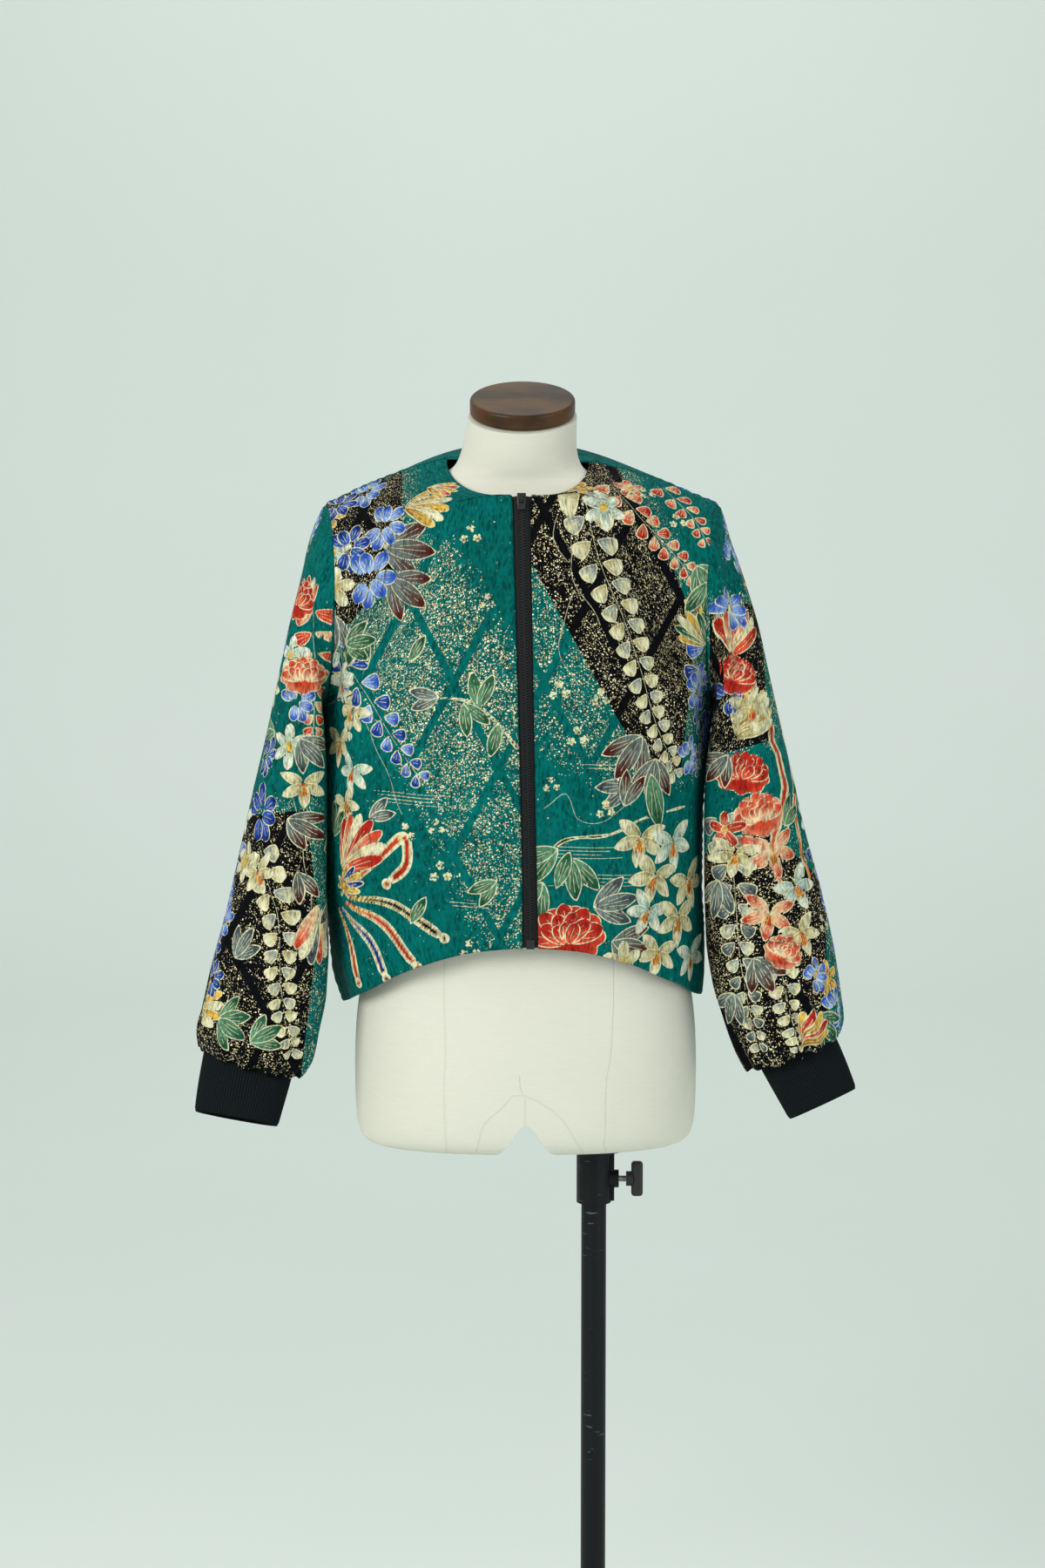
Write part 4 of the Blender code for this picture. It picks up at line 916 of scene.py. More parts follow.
def small_blossoms(canvas, spot, size, degrees, name):
    """Three little gilded blossoms."""
    near, right, up = canvas.around(spot, size * 2.2)
    for k, (x, y) in enumerate(((0, 0.62), (0.62, -0.30), (-0.58, -0.42))):
        for j in range(5):
            angle = degrees + 72 * j + 23 * k
            lay_petal(canvas, near, right - x * size, up - y * size, angle, size * 0.42, size * 0.34, name)


def stem(canvas, path, wander=0.0):
    """A thin vine along a path."""
    near, side, along, long = canvas.beside(path, 8 * MM)
    side = side + wander * np.sin(along / (9 * MM))
    canvas.line(near, side, (along > 0) & (along < long), 3)


def raceme(canvas, path, size, names):
    """Wisteria: pairs of shell petals down a stem, smaller towards the tip."""
    lengths = length_of(np.diff(path, axis=0))
    long = np.sum(lengths)
    steps = np.concatenate(([0], np.cumsum(lengths)))
    stem(canvas, path)
    at = 0.0
    count = 0
    while at < long:
        share = at / long
        here = np.array([np.interp(at, steps, path[:, k]) for k in range(3)])
        ahead = np.array([np.interp(min(at + 4 * MM, long), steps, path[:, k]) for k in range(3)])
        spot = int(np.argmin(length_of(canvas.points - here)))
        near, right, up = canvas.around(spot, size * 1.6)
        way = (ahead - here) if at + 4 * MM < long else (path[-1] - path[-2])
        rightwards, upwards = canvas.compass(spot)
        heading = math.degrees(math.atan2(way @ rightwards, way @ upwards))
        petal = size * (1.25 - 0.65 * share)
        for sign in (-1, 1):
            name = names[(count + (sign > 0)) % len(names)]
            lean = heading + sign * (64 - 26 * share)
            lay_petal(canvas, near, right, up, lean, petal, petal * 0.80, name, shell_distance,
                      start=0.20 * petal)
        at += petal * 1.08
        count += 1


def plume(canvas, path, wide, name):
    """A long tail feather: an outer band, an inner band, barbs and an eye at its tip."""
    near, side, along, long = canvas.beside(path, wide * 0.8)
    share = along / long
    half = wide / 2 * np.minimum(1, 0.25 + 1.5 * share) * np.sqrt(np.clip((1.004 - share) * 9, 0, 1))
    inside = (along > 0) & (share < 1)
    band = np.where(inside, half - np.abs(side), OFF_SHAPE)
    canvas.shape(near, band, graded("cream", 0.4 + share * 0.6))
    core = np.where(inside & (share < 0.93), half * 0.52 - np.abs(side), OFF_SHAPE)
    canvas.shape(near, core, graded(name, 0.3 + 0.7 * share), 1.0)
    barb = (np.abs(side) * 0.9 + along) / (3.2 * MM)
    zigzag = (np.abs((barb % 2) - 1) - 0.5) * 3.2 * MM
    canvas.line(near, zigzag, (np.abs(side) > half * 0.52) & (np.abs(side) < half - 0.7 * MM), 2)
    spot = int(np.argmin(length_of(canvas.points - path[-1])))
    near, right, up = canvas.around(spot, wide * 1.4)
    canvas.shape(near, wide * 0.50 - np.hypot(right, up), np.array(DYES["cream"][1]))
    canvas.shape(near, wide * 0.27 - np.hypot(right, up), np.array(DYES[name][1]), 1.0)


def wing(canvas, spot, size, degrees, names, count=7, spread=14):
    """Feathers in a fan, the longest in the middle."""
    near, right, up = canvas.around(spot, size * 1.1)
    for k in range(count):
        lean = degrees + (k - (count - 1) / 2) * spread
        long = size * (0.72 + 0.28 * math.sin(math.pi * (k + 0.5) / count))
        lay_petal(canvas, near, right, up, lean, long, size * 0.26, names[k % len(names)])


def twig(canvas, path, wide):
    """A brown branch with a pale edge."""
    near, side, along, long = canvas.beside(path, 8 * MM)
    half = wide / 2 * (1.1 - 0.6 * along / long) + 0.3 * MM * np.sin(along / (5 * MM))
    bark = np.where((along > 0) & (along < long), half - np.abs(side), OFF_SHAPE)
    canvas.shape(near, bark, np.array(dye("4A3A26")))


def mist(canvas, spot, wide, rows):
    """A band of fine level lines with ragged ends."""
    near, right, up = canvas.around(spot, wide)
    gap = 3.4 * MM
    level = up + 1.2 * MM * np.sin(right / (22 * MM))
    zigzag = (np.abs((level / gap) % 2 - 1) - 0.5) * gap
    ends = wide * (0.72 + 0.26 * np.sin(np.floor(level / gap) * 2.4))
    in_band = (np.abs(level) < rows * gap / 2) & (np.abs(right) < ends)
    canvas.line(near, zigzag, in_band & (canvas.edges[near].max(axis=1) < 0), 1)


MOTIFS = {
    "cluster": cluster, "flower": flower, "peony": peony, "leaves": leaves, "bells": bells,
    "blossoms": small_blossoms, "wing": wing,
}
print(len(DYES), "dyes")


# %% [markdown]
# ## Where the motifs lie
#
# The layout follows the general arrangement of the print in the photo: dark fields of gold dust
# crossed by a lattice, hanging wisteria, blue and cream flowers, a fan of plumes at the lower
# right of the wearer. The drawing of each motif is our own. The back and the hidden sides of the
# sleeves take the same cloth, laid the other way round.

# %% Dark fields, gold dust and the lattice
FIELDS = {
    # outline, density of its gold dust, whether its ground is black
    "front_right": (
        (((330, 548), (462, 540), (462, 640), (402, 716), (330, 716)), 0.42, True),
        (((404, 640), (505, 625), (604, 780), (604, 1105), (570, 1090), (425, 765)), 0.40, False),
    ),
    "front_left": (
        (((600, 520), (700, 520), (768, 640), (800, 720), (782, 884), (742, 884), (600, 628)), 0.46, True),
        (((604, 640), (740, 880), (716, 905), (640, 860), (604, 800)), 0.30, False),
    ),
    "sleeve_right": (
        (((210, 942), (352, 930), (366, 1060), (345, 1240), (210, 1240)), 0.42, True),
    ),
    "sleeve_left": (
        (((798, 985), (880, 950), (948, 1015), (950, 1240), (798, 1240)), 0.42, True),
        (((815, 700), (872, 690), (884, 850), (815, 870)), 0.35, True),
    ),
}
LATTICE_GAP = 92
LATTICE_HALF = 4.2
LATTICE_LEAN = 62
STRAY_DUST = 0.010


def lattice_distance(seen):
    away = np.full(len(seen), np.inf)
    for lean in (-LATTICE_LEAN, LATTICE_LEAN):
        across = seen @ (math.sin(math.radians(lean)), math.cos(math.radians(lean)))
        away = np.minimum(away, np.abs((across + LATTICE_GAP / 2) % LATTICE_GAP - LATTICE_GAP / 2))
    return LATTICE_HALF - away


def lay_ground(canvas, names):
    """Fields, dust and lattice. names gives the layout for each facing."""
    for facing, layouts in names.items():
        mine = canvas.normals[:, 1] * facing > 0
        seen = canvas.views[facing][mine]
        black = np.full(len(seen), -np.inf)
        density = np.full(len(seen), STRAY_DUST)
        for outline, most, is_black in [field for name in layouts for field in FIELDS[name]]:
            distance = outline_distance(seen, outline)
            density = np.maximum(density, most * ease(-30, 16, distance))
            if is_black:
                black = np.maximum(black, distance)
        canvas.ground[mine, 0] = steep(black * PIXEL)
        canvas.ground[mine, 1] = density
        canvas.ground[mine, 2] = steep(lattice_distance(seen) * PIXEL)


# %% Stems, racemes, plumes and branches
PATHS = {
    # kind, places across and down, size in mm, dyes
    "front_right": (
        ("vine", ((382, 715), (400, 790), (430, 850), (462, 935)), 0, ()),
        ("twig", ((603, 862), (566, 826), (534, 806), (498, 800)), 2.4, ()),
        ("raceme", ((384, 742), (415, 790), (446, 842), (486, 900)), 18, ("blue", "deep_blue")),
        ("raceme", ((392, 748), (396, 800), (400, 850)), 14, ("cream", "white")),
        ("vine", ((560, 760), (585, 800), (600, 850)), 0, ()),
        ("plume", ((402, 1018), (436, 985), (462, 962), (466, 992), (444, 1014)), 10, ("red",)),
        ("plume", ((398, 1030), (455, 1040), (512, 1078)), 9, ("black",)),
        ("plume", ((396, 1034), (442, 1062), (480, 1110)), 10, ("red",)),
        ("plume", ((392, 1038), (424, 1078), (444, 1124)), 9, ("deep_blue",)),
        ("plume", ((388, 1040), (402, 1084), (412, 1128)), 9, ("red",)),
    ),
    "front_left": (
        ("vine", ((652, 558), (634, 612), (660, 668), (640, 738), (664, 790)), 0, ()),
        ("vine", ((700, 556), (655, 640), (690, 720)), 0, ()),
        ("twig", ((612, 1002), (646, 966), (700, 958), (742, 938), (788, 926)), 2.6, ()),
        ("vine", ((622, 930), (650, 912), (664, 940), (700, 940), (738, 905)), 0, ()),
        ("raceme", ((668, 566), (688, 640), (714, 704), (736, 770), (754, 830), (776, 890)), 18,
         ("mist", "cream")),
        ("raceme", ((700, 556), (732, 590), (762, 622), (798, 664)), 15, ("red", "pale_red")),
        ("raceme", ((760, 560), (792, 590), (812, 626)), 13, ("pale_red", "red")),
        ("raceme", ((812, 742), (800, 790), (806, 846), (798, 884)), 16, ("deep_blue", "blue")),
    ),
    "sleeve_right": (
        ("vine", ((352, 600), (330, 700), (300, 820), (280, 930)), 0, ()),
        ("raceme", ((360, 700), (362, 770), (360, 850)), 15, ("red", "pale_red")),
        ("raceme", ((300, 978), (318, 1050), (322, 1130), (334, 1214)), 16, ("mist", "cream")),
        ("raceme", ((262, 960), (250, 1030), (244, 1096)), 14, ("blue", "deep_blue")),
        ("vine", ((336, 905), (350, 980), (360, 1060)), 0, ()),
    ),
    "sleeve_left": (
        ("vine", ((842, 600), (868, 700), (900, 820), (930, 930), (950, 1050)), 0, ()),
        ("plume", ((906, 1036), (886, 980), (902, 900), (886, 836), (866, 792)), 12, ("red",)),
        ("plume", ((930, 1010), (912, 930), (908, 860), (890, 806)), 9, ("red",)),
        ("raceme", ((826, 936), (842, 1010), (850, 1096), (872, 1204)), 17, ("mist", "grey")),
        ("raceme", ((898, 1110), (906, 1160), (916, 1206)), 12, ("cream", "mist")),
    ),
}

# %% Flowers, leaves, wings and mist
FLOWERS = {
    # kind, across, down, size in mm, degrees, dye, and what differs from the motif's defaults
    "front_right": (
        ("mist", 470, 918, 46, 0, "", dict(rows=4)),
        ("mist", 540, 1040, 34, 0, "", dict(rows=3)),
        ("leaves", 440, 628, 54, 96, "grey_red", dict(count=3)),
        ("leaves", 446, 664, 49, 124, "grey_red", dict(count=3)),
        ("leaves", 410, 716, 44, 172, "green", dict(count=2)),
        ("leaves", 356, 706, 41, 190, "grey", dict(count=3)),
        ("leaves", 548, 812, 37, 8, "green", dict(count=2)),
        ("leaves", 532, 808, 34, 150, "green", dict(count=2, spread=46)),
        ("leaves", 572, 830, 34, 196, "green", dict(count=1)),
        ("leaves", 504, 800, 32, 262, "grey", dict(count=2)),
        ("leaves", 470, 760, 29, 30, "green", dict(count=1)),
        ("flower", 366, 596, 17, 10, "gold", dict(petals=6, pointed=True)),
        ("cluster", 420, 566, 24, 0, "blue"),
        ("cluster", 388, 580, 23, 20, "deep_blue"),
        ("cluster", 440, 604, 26, 40, "blue"),
        ("flower", 364, 636, 19, 0, "white", dict(petals=6, pointed=True)),
        ("cluster", 400, 630, 25, 12, "deep_blue"),
        ("cluster", 424, 664, 30, 30, "blue"),
        ("flower", 380, 674, 20, 0, "cream", dict(petals=5)),
        ("wing", 466, 584, 46, 70, ("gold", "cream"), dict(count=7)),
        ("wing", 492, 560, 34, 96, ("gold", "pale_red"), dict(count=5)),
        ("bells", 392, 782, 20, 150, "white"),
        ("bells", 404, 816, 19, 210, "cream"),
        ("bells", 390, 850, 22, 176, "cream"),
        ("bells", 404, 884, 20, 200, "white"),
        ("bells", 396, 922, 19, 160, "cream"),
        ("leaves", 424, 940, 30, 60, "grey", dict(count=2)),
        ("leaves", 396, 740, 36, 80, "green", dict(count=3)),
        ("leaves", 470, 1060, 30, 30, "green", dict(count=1)),
        ("leaves", 384, 960, 37, 20, "green", dict(count=2)),
        ("wing", 394, 1000, 66, 38, ("red", "pale_red", "cream"), dict(count=7, spread=11)),
        ("wing", 392, 1020, 34, 60, ("gold", "deep_blue"), dict(count=5, spread=16)),
        ("flower", 394, 1016, 13, 0, "gold", dict(petals=7, pointed=True)),
        ("blossoms", 541, 614, 10, 0, "pale_gold"),
        ("blossoms", 466, 957, 10, 20, "pale_gold"),
        ("blossoms", 506, 1002, 11, 50, "pale_gold"),
        ("blossoms", 540, 1090, 10, 10, "pale_gold"),
        ("blossoms", 560, 690, 8, 30, "pale_gold"),
        ("blossoms", 500, 950, 8, 75, "pale_gold"),
        ("leaves", 572, 1010, 32, 230, "green", dict(count=2)),
    ),
    "front_left": (
        ("mist", 664, 978, 44, 0, "", dict(rows=5)),
        ("mist", 690, 1010, 52, 0, "", dict(rows=4)),
        ("mist", 690, 880, 28, 0, "", dict(rows=3)),
        ("leaves", 738, 846, 49, 214, "grey_red", dict(count=3)),
        ("leaves", 752, 872, 46, 186, "grey_red", dict(count=3)),
        ("leaves", 726, 900, 39, 250, "grey", dict(count=2)),
        ("leaves", 748, 888, 54, 168, "green", dict(count=1)),
        ("leaves", 716, 926, 37, 20, "grey_red", dict(count=2)),
        ("leaves", 640, 974, 46, 236, "green", dict(count=2)),
        ("leaves", 656, 984, 44, 156, "green", dict(count=2)),
        ("leaves", 622, 1012, 41, 200, "green", dict(count=2)),
        ("leaves", 682, 1040, 44, 80, "grey", dict(count=3)),
        ("leaves", 702, 1080, 44, 112, "grey_red", dict(count=3)),
        ("leaves", 640, 1020, 37, 20, "green", dict(count=1)),
        ("flower", 693, 582, 22, 0, "white", dict(petals=6)),
        ("flower", 664, 560, 16, 30, "gold", dict(petals=5)),
        ("flower", 722, 560, 16, 10, "pale_red"),
        ("flower", 806, 700, 20, 0, "gold", dict(petals=6, pointed=True)),
        ("leaves", 800, 650, 37, 150, "green", dict(count=3)),
        ("leaves", 812, 668, 37, 200, "green", dict(count=2)),
        ("wing", 818, 740, 40, -50, ("gold", "green", "cream"), dict(count=5)),
        ("cluster", 802, 790, 25, 0, "blue"),
        ("cluster", 812, 838, 23, 30, "deep_blue"),
        ("cluster", 792, 868, 20, 10, "blue"),
        ("blossoms", 742, 566, 9, 0, "pale_gold"),
        ("blossoms", 778, 598, 9, 40, "pale_gold"),
        ("blossoms", 642, 792, 10, 0, "pale_gold"),
        ("blossoms", 690, 800, 9, 30, "pale_gold"),
        ("blossoms", 664, 846, 10, 60, "pale_gold"),
        ("blossoms", 632, 900, 8, 20, "pale_gold"),
        ("blossoms", 696, 930, 9, 0, "pale_gold"),
        ("bells", 736, 962, 25, 190, "cream"),
        ("bells", 772, 966, 26, 170, "white"),
        ("bells", 752, 1004, 26, 200, "cream"),
        ("bells", 790, 1010, 25, 160, "cream"),
        ("bells", 744, 1046, 22, 210, "white"),
        ("bells", 778, 1052, 26, 184, "cream"),
        ("bells", 792, 1096, 24, 170, "white"),
        ("bells", 756, 1092, 22, 196, "cream"),
        ("peony", 652, 1076, 37, -6, "red"),
        ("flower", 712, 1112, 20, 0, "cream", dict(petals=5)),
    ),
    "sleeve_right": (
        ("leaves", 346, 640, 41, 200, "grey_red", dict(count=3)),
        ("cluster", 352, 604, 21, 0, "blue"),
        ("wing", 352, 706, 40, -14, ("red", "cream", "pale_red"), dict(count=6)),
        ("leaves", 332, 712, 37, 230, "green", dict(count=3)),
        ("leaves", 316, 840, 41, 250, "green", dict(count=3)),
        ("flower", 334, 752, 19, 0, "white"),
        ("flower", 316, 790, 20, 30, "cream", dict(petals=6, pointed=True)),
        ("cluster", 340, 806, 21, 12, "blue"),
        ("flower", 332, 856, 22, 0, "white", dict(petals=6)),
        ("cluster", 306, 868, 21, 20, "deep_blue"),
        ("leaves", 288, 880, 41, 210, "green", dict(count=3)),
        ("cluster", 300, 934, 30, 0, "deep_blue"),
        ("bells", 348, 900, 20, 180, "cream"),
        ("leaves", 330, 940, 37, 120, "grey_red", dict(count=3)),
        ("flower", 282, 990, 20, 0, "cream", dict(petals=6)),
        ("cluster", 262, 1030, 24, 10, "blue"),
        ("cluster", 246, 1086, 24, 30, "deep_blue"),
        ("wing", 232, 1162, 50, 66, ("gold", "cream"), dict(count=6)),
        ("leaves", 250, 1170, 41, 96, "green", dict(count=4)),
        ("leaves", 286, 1196, 34, 60, "green", dict(count=3)),
        ("wing", 364, 1040, 56, 184, ("grey", "cream", "pale_red"), dict(count=6, spread=10)),
        ("blossoms", 318, 700, 9, 0, "pale_gold"),
        ("peony", 344, 690, 24, 10, "red"),
        ("cluster", 318, 742, 22, 30, "blue"),
        ("leaves", 296, 800, 40, 290, "green", dict(count=2)),
        ("leaves", 344, 848, 38, 140, "grey", dict(count=3)),
        ("peony", 348, 776, 22, 0, "pale_red"),
        ("bells", 272, 932, 20, 200, "white"),
        ("bells", 296, 1000, 20, 150, "cream"),
        ("cluster", 258, 1058, 22, 60, "blue"),
        ("cluster", 244, 1124, 20, 10, "deep_blue"),
        ("leaves", 340, 1000, 34, 160, "grey_red", dict(count=2)),
        ("leaves", 270, 1100, 36, 30, "grey", dict(count=3)),
    ),
    "sleeve_left": (
        ("leaves", 846, 606, 41, 160, "green", dict(count=3)),
        ("cluster", 842, 640, 22, 0, "blue"),
        ("flower", 858, 668, 18, 20, "gold", dict(petals=6, pointed=True)),
        ("wing", 842, 752, 50, 16, ("red", "pale_red", "cream"), dict(count=7, spread=12)),
        ("wing", 846, 846, 52, 34, ("cream", "gold"), dict(count=7, spread=12)),
        ("cluster", 836, 800, 20, 0, "deep_blue"),
        ("peony", 852, 888, 25, 10, "red"),
        ("peony", 872, 936, 26, -14, "pale_red"),
        ("flower", 832, 952, 18, 0, "red"),
        ("bells", 888, 976, 25, 170, "pale_red"),
        ("bells", 914, 1016, 23, 150, "white"),
        ("bells", 884, 1048, 24, 190, "pale_red"),
        ("bells", 920, 1070, 21, 160, "cream"),
        ("leaves", 826, 1010, 39, 190, "grey", dict(count=3)),
        ("leaves", 866, 1100, 39, 150, "grey_red", dict(count=3)),
        ("blossoms", 922, 920, 10, 0, "pale_gold"),
        ("blossoms", 936, 980, 10, 30, "pale_gold"),
        ("blossoms", 946, 1060, 10, 60, "pale_gold"),
        ("flower", 948, 1124, 20, 0, "gold", dict(petals=6)),
        ("cluster", 960, 1158, 21, 20, "blue"),
        ("leaves", 938, 1168, 37, 130, "green", dict(count=3)),
        ("cluster", 838, 700, 22, 0, "blue"),
        ("leaves", 870, 704, 36, 30, "green", dict(count=3)),
        ("peony", 842, 776, 22, 20, "red"),
        ("bells", 862, 812, 20, 170, "cream"),
        ("leaves", 836, 866, 36, 220, "grey_red", dict(count=3)),
        ("bells", 846, 980, 20, 190, "cream"),
        ("leaves", 902, 948, 34, 40, "green", dict(count=2)),
        ("peony", 898, 1094, 20, 30, "pale_red"),
        ("leaves", 842, 1140, 36, 200, "grey", dict(count=3)),
        ("cluster", 936, 1120, 18, 0, "blue"),
        ("wing", 920, 1200, 40, 40, ("gold", "red"), dict(count=5)),
    ),
}


def paint(canvas, layout, facing):
    """Lays one layout's paths and then its flowers on a canvas."""
    for kind, places, size, dyes in PATHS[layout]:
        path = canvas.route(places, facing)
        if kind == "vine":
            stem(canvas, path, wander=1.2 * MM)
        elif kind == "twig":
            twig(canvas, path, size * MM)
        elif kind == "raceme":
            raceme(canvas, path, size * MM, dyes)
        else:
            plume(canvas, path, size * MM, dyes[0])
    for kind, across, down, size, degrees, name, *more in FLOWERS[layout]:
        spot = canvas.spot(across, down, facing)
        choices = more[0] if more else {}
        if kind == "mist":
            mist(canvas, spot, size * MM, **choices)
        else:
            MOTIFS[kind](canvas, spot, size * MM, degrees, name, **choices)


print("layouts", {name: len(rows) + len(PATHS[name]) for name, rows in FLOWERS.items()})

# %% [markdown]
# ## Printed crepe
#
# Crepe is woven with hard-twisted yarn that shrinks into small upright crinkles. The finish reads
# the painted distances for the print, scatters gold flecks with a Voronoi texture whose cells are
# kept or dropped by the dust's density, and raises the crinkles with stretched noise: as bump, and
# as painted shade that darkens the colour in their hollows and lightens it on their ridges.

# %% The crepe finish
GREEN = dye("006F6B")
DEEP_GREEN = dye("00504C")
BLACK = dye("0A0B0F")
FLECK = dye("DDB95C")
PALE_FLECK = dye("F6F0CE")
RESIST = dye("DCD6AE")
GILT = dye("C79C3C")


def fleck_mask(f, cloth, density, per_metre, radius):
    """Gold flecks: one at most in each cell, kept where the density allows."""
    gap = f.cells(cloth, per_metre, 0)
    chance, size, _ = f.parts(f.cells(cloth, per_metre, 1))
    kept = (density - chance).rise(0.0, 0.02)
    return kept * (1 - (gap - size * (radius * 0.6)).rise(radius * 0.45, radius * 0.65))


def crepe(name, faded=0.0):
    f = Finish(name, Specular_IOR_Level=0.03)
    cloth = f.cloth()
    fill, (_, _, _, gilt) = f.painted("print_colour")
    _, edges = f.painted("print_edges")
    _, lines = f.painted("print_lines")
    _, (black, density, lattice, _) = f.painted("print_ground")
    patches = f.noise(cloth, 11.0, 2.0)
    on_black = black.rise(-0.2 * MM, 0.2 * MM)
    ground = f.mix(on_black, f.mix(patches, (*DEEP_GREEN, 1), (*GREEN, 1)), (*BLACK, 1))
    open_ground = 1 - lattice.rise(-0.3 * MM, 0.2 * MM)
    drifts = f.noise(cloth, 55.0, 2.0).rise(0.30, 0.62) * 0.75 + 0.50
    density = density * drifts * (0.92 - on_black * 0.36)
    coarse_flecks = fleck_mask(f, cloth, density * 1.7, 540.0, 0.40)
    fine_flecks = fleck_mask(f, cloth, density * 1.5, 980.0, 0.38)
    dust = coarse_flecks.larger(fine_flecks) * open_ground
    pale = f.noise(cloth, 900.0, 0.0).rise(0.34, 0.56)
    ground = f.mix(dust, ground, f.mix(pale, (*FLECK, 1), (*PALE_FLECK, 1)))
    inside = edges[0].larger(edges[1]).larger(edges[2].larger(edges[3])).rise(-0.1 * MM, 0.1 * MM)
    uneven = f.noise(cloth, 240.0, 1.0)
    outline = 1 - (f.nearest(edges) - uneven * (0.35 * MM)).rise(0.22 * MM, 0.42 * MM)
    vein = 1 - (f.nearest(lines) - uneven * (0.22 * MM)).rise(0.08 * MM, 0.26 * MM)
    colour = f.mix(inside, ground, f.tint(fill, 0.86 + uneven * 0.3))
    colour = f.mix(vein * 0.75, colour, (*RESIST, 1))
    colour = f.mix(outline * 0.92, colour, f.mix(gilt, (*RESIST, 1), (*GILT, 1)))
    warped = f.add("ShaderNodeVectorMath", {"operation": "MULTIPLY_ADD"},
                   {0: f.add("ShaderNodeTexNoise", None, {"Vector": cloth, "Scale": 90.0}, 1),
                    1: (0.004, 0.004, 0.0), 2: cloth})
    crinkle = 1 - abs(f.noise(f.stretched(warped, (1.0, 0.34, 1.0)), 280.0, 1.0) - 0.5) * 4.4
    coarse = f.noise(f.stretched(warped, (1.0, 0.35, 1.0)), 150.0, 1.0)
    # painted shade: the crinkles' height darkens the colour in their hollows and lightens it on their ridges
    shade = crinkle.larger(0.0) * 0.62 + coarse * 0.56 + 0.23
    colour = f.tint(colour, shade)
    if faded:
        colour = f.mix(faded, colour, (*dye("5A6A64"), 1))
    f.feed("Base Color", colour)
    metal = (dust * (1 - inside)).larger(outline * gilt) * (1 - faded)
    f.feed("Metallic", metal * 0.40)
    f.feed("Roughness", 0.60 - metal * 0.2)
    f.bump((crinkle, 0.95 * MM), (coarse, 1.4 * MM))
    return f


CREPE = crepe("printed crepe")
CREPE_INSIDE = crepe("crepe inside", 0.55)
print("crepe finishes ready")


# %% [markdown]
# ## Creases, seams and gathers
#
# A garment on a form has few folds, and they are uneven. The long ones are listed as paths in
# the picture with a width and a depth each: a deep trough down the front of each sleeve, slanting
# wrinkles at the elbows, soft waves at the hem. Seams sink a little and pucker, free edges curl
# in, and the sleeves gather into the cuffs.

# %% Folds
CREASES = {
    # path in the picture, width in mm, height in mm (negative is a trough), facing
    "front_right": (
        (((372, 690), (384, 790), (388, 900)), 11, -3.0, -1),
        (((392, 700), (410, 830), (414, 960)), 15, 2.2, -1),
        (((420, 980), (426, 1060), (424, 1130)), 13, -2.0, -1),
        (((590, 590), (584, 800), (590, 1080)), 9, -1.0, -1),
        (((470, 1000), (476, 1060), (480, 1110)), 16, 1.6, -1),
        (((410, 560), (440, 600), (452, 660)), 12, -1.2, -1),
    ),
    "front_left": (
        (((826, 690), (812, 780), (808, 900)), 10, -2.8, -1),
        (((806, 700), (790, 820), (790, 940)), 15, 2.2, -1),
        (((770, 980), (764, 1060), (768, 1120)), 14, -2.0, -1),
        (((622, 590), (628, 800), (626, 1080)), 9, -1.0, -1),
        (((710, 990), (704, 1050), (706, 1100)), 16, 1.6, -1),
        (((786, 560), (760, 610), (752, 670)), 12, -1.2, -1),
    ),
    "sleeve_right": (
        (((360, 606), (351, 760), (348, 940), (345, 1124)), 6.5, -5.0, -1),
        (((344, 620), (330, 800), (324, 980), (318, 1120)), 15, 3.2, -1),
        (((262, 822), (296, 850), (338, 858)), 8, -2.6, -1),
        (((252, 872), (290, 902), (336, 908)), 10, 1.8, -1),
        (((246, 950), (290, 984), (340, 980)), 8, -2.2, -1),
        (((236, 1030), (276, 1052), (330, 1046)), 10, -2.0, -1),
        (((300, 690), (292, 800), (270, 900)), 12, -1.8, -1),
        (((258, 1100), (262, 1150), (266, 1190)), 7, -2.4, -1),
        (((880, 640), (900, 820), (930, 1000)), 12, -3.0, 1),
        (((846, 700), (860, 880), (870, 1080)), 10, -3.4, 1),
        (((850, 860), (890, 880), (930, 870)), 9, -2.2, 1),
    ),
    "sleeve_left": (
        (((836, 600), (842, 670), (857, 900), (852, 1007), (842, 1100)), 6.5, -5.0, -1),
        (((856, 620), (868, 780), (882, 960), (880, 1110)), 15, 3.0, -1),
        (((935, 822), (902, 850), (864, 850)), 8, -2.6, -1),
        (((946, 880), (910, 906), (868, 902)), 10, 1.8, -1),
        (((956, 960), (910, 990), (862, 978)), 8, -2.4, -1),
        (((962, 1040), (924, 1060), (862, 1044)), 10, -2.0, -1),
        (((900, 690), (912, 800), (934, 900)), 12, -1.8, -1),
        (((940, 1110), (936, 1150), (932, 1196)), 7, -2.4, -1),
        (((320, 640), (300, 820), (276, 1000)), 12, -3.0, 1),
        (((352, 700), (338, 880), (330, 1080)), 10, -3.4, 1),
        (((350, 860), (310, 880), (272, 870)), 9, -2.2, 1),
    ),
    "back": (
        (((372, 700), (396, 840), (404, 1000)), 12, -3.2, 1),
        (((836, 700), (806, 840), (800, 1000)), 12, -3.2, 1),
        (((470, 640), (500, 800), (496, 1000)), 20, 2.0, 1),
        (((720, 660), (690, 820), (700, 1010)), 20, 2.0, 1),
        (((604, 600), (606, 820), (600, 1120)), 22, -2.2, 1),
        (((430, 1040), (436, 1120), (430, 1180)), 14, -2.4, 1),
        (((760, 1040), (752, 1120), (760, 1180)), 14, -2.4, 1),
    ),
}
SEAM_PUFF = 1.0 * MM
PUCKER = 0.45 * MM
EDGE_CURL = 0.8 * MM
CALM_REACH = 14 * MM
FRONT_CREASES = 1.6  # how much deeper the fronts' creases and waves are than the table says
FRONT_WAVES = 1.5
FRONT_HEM_WAVE = 2.4 * MM
BACK_HEM_WAVE = 2.0 * MM
GATHER_COUNT = 13
GATHER_DEPTH = 3.0 * MM


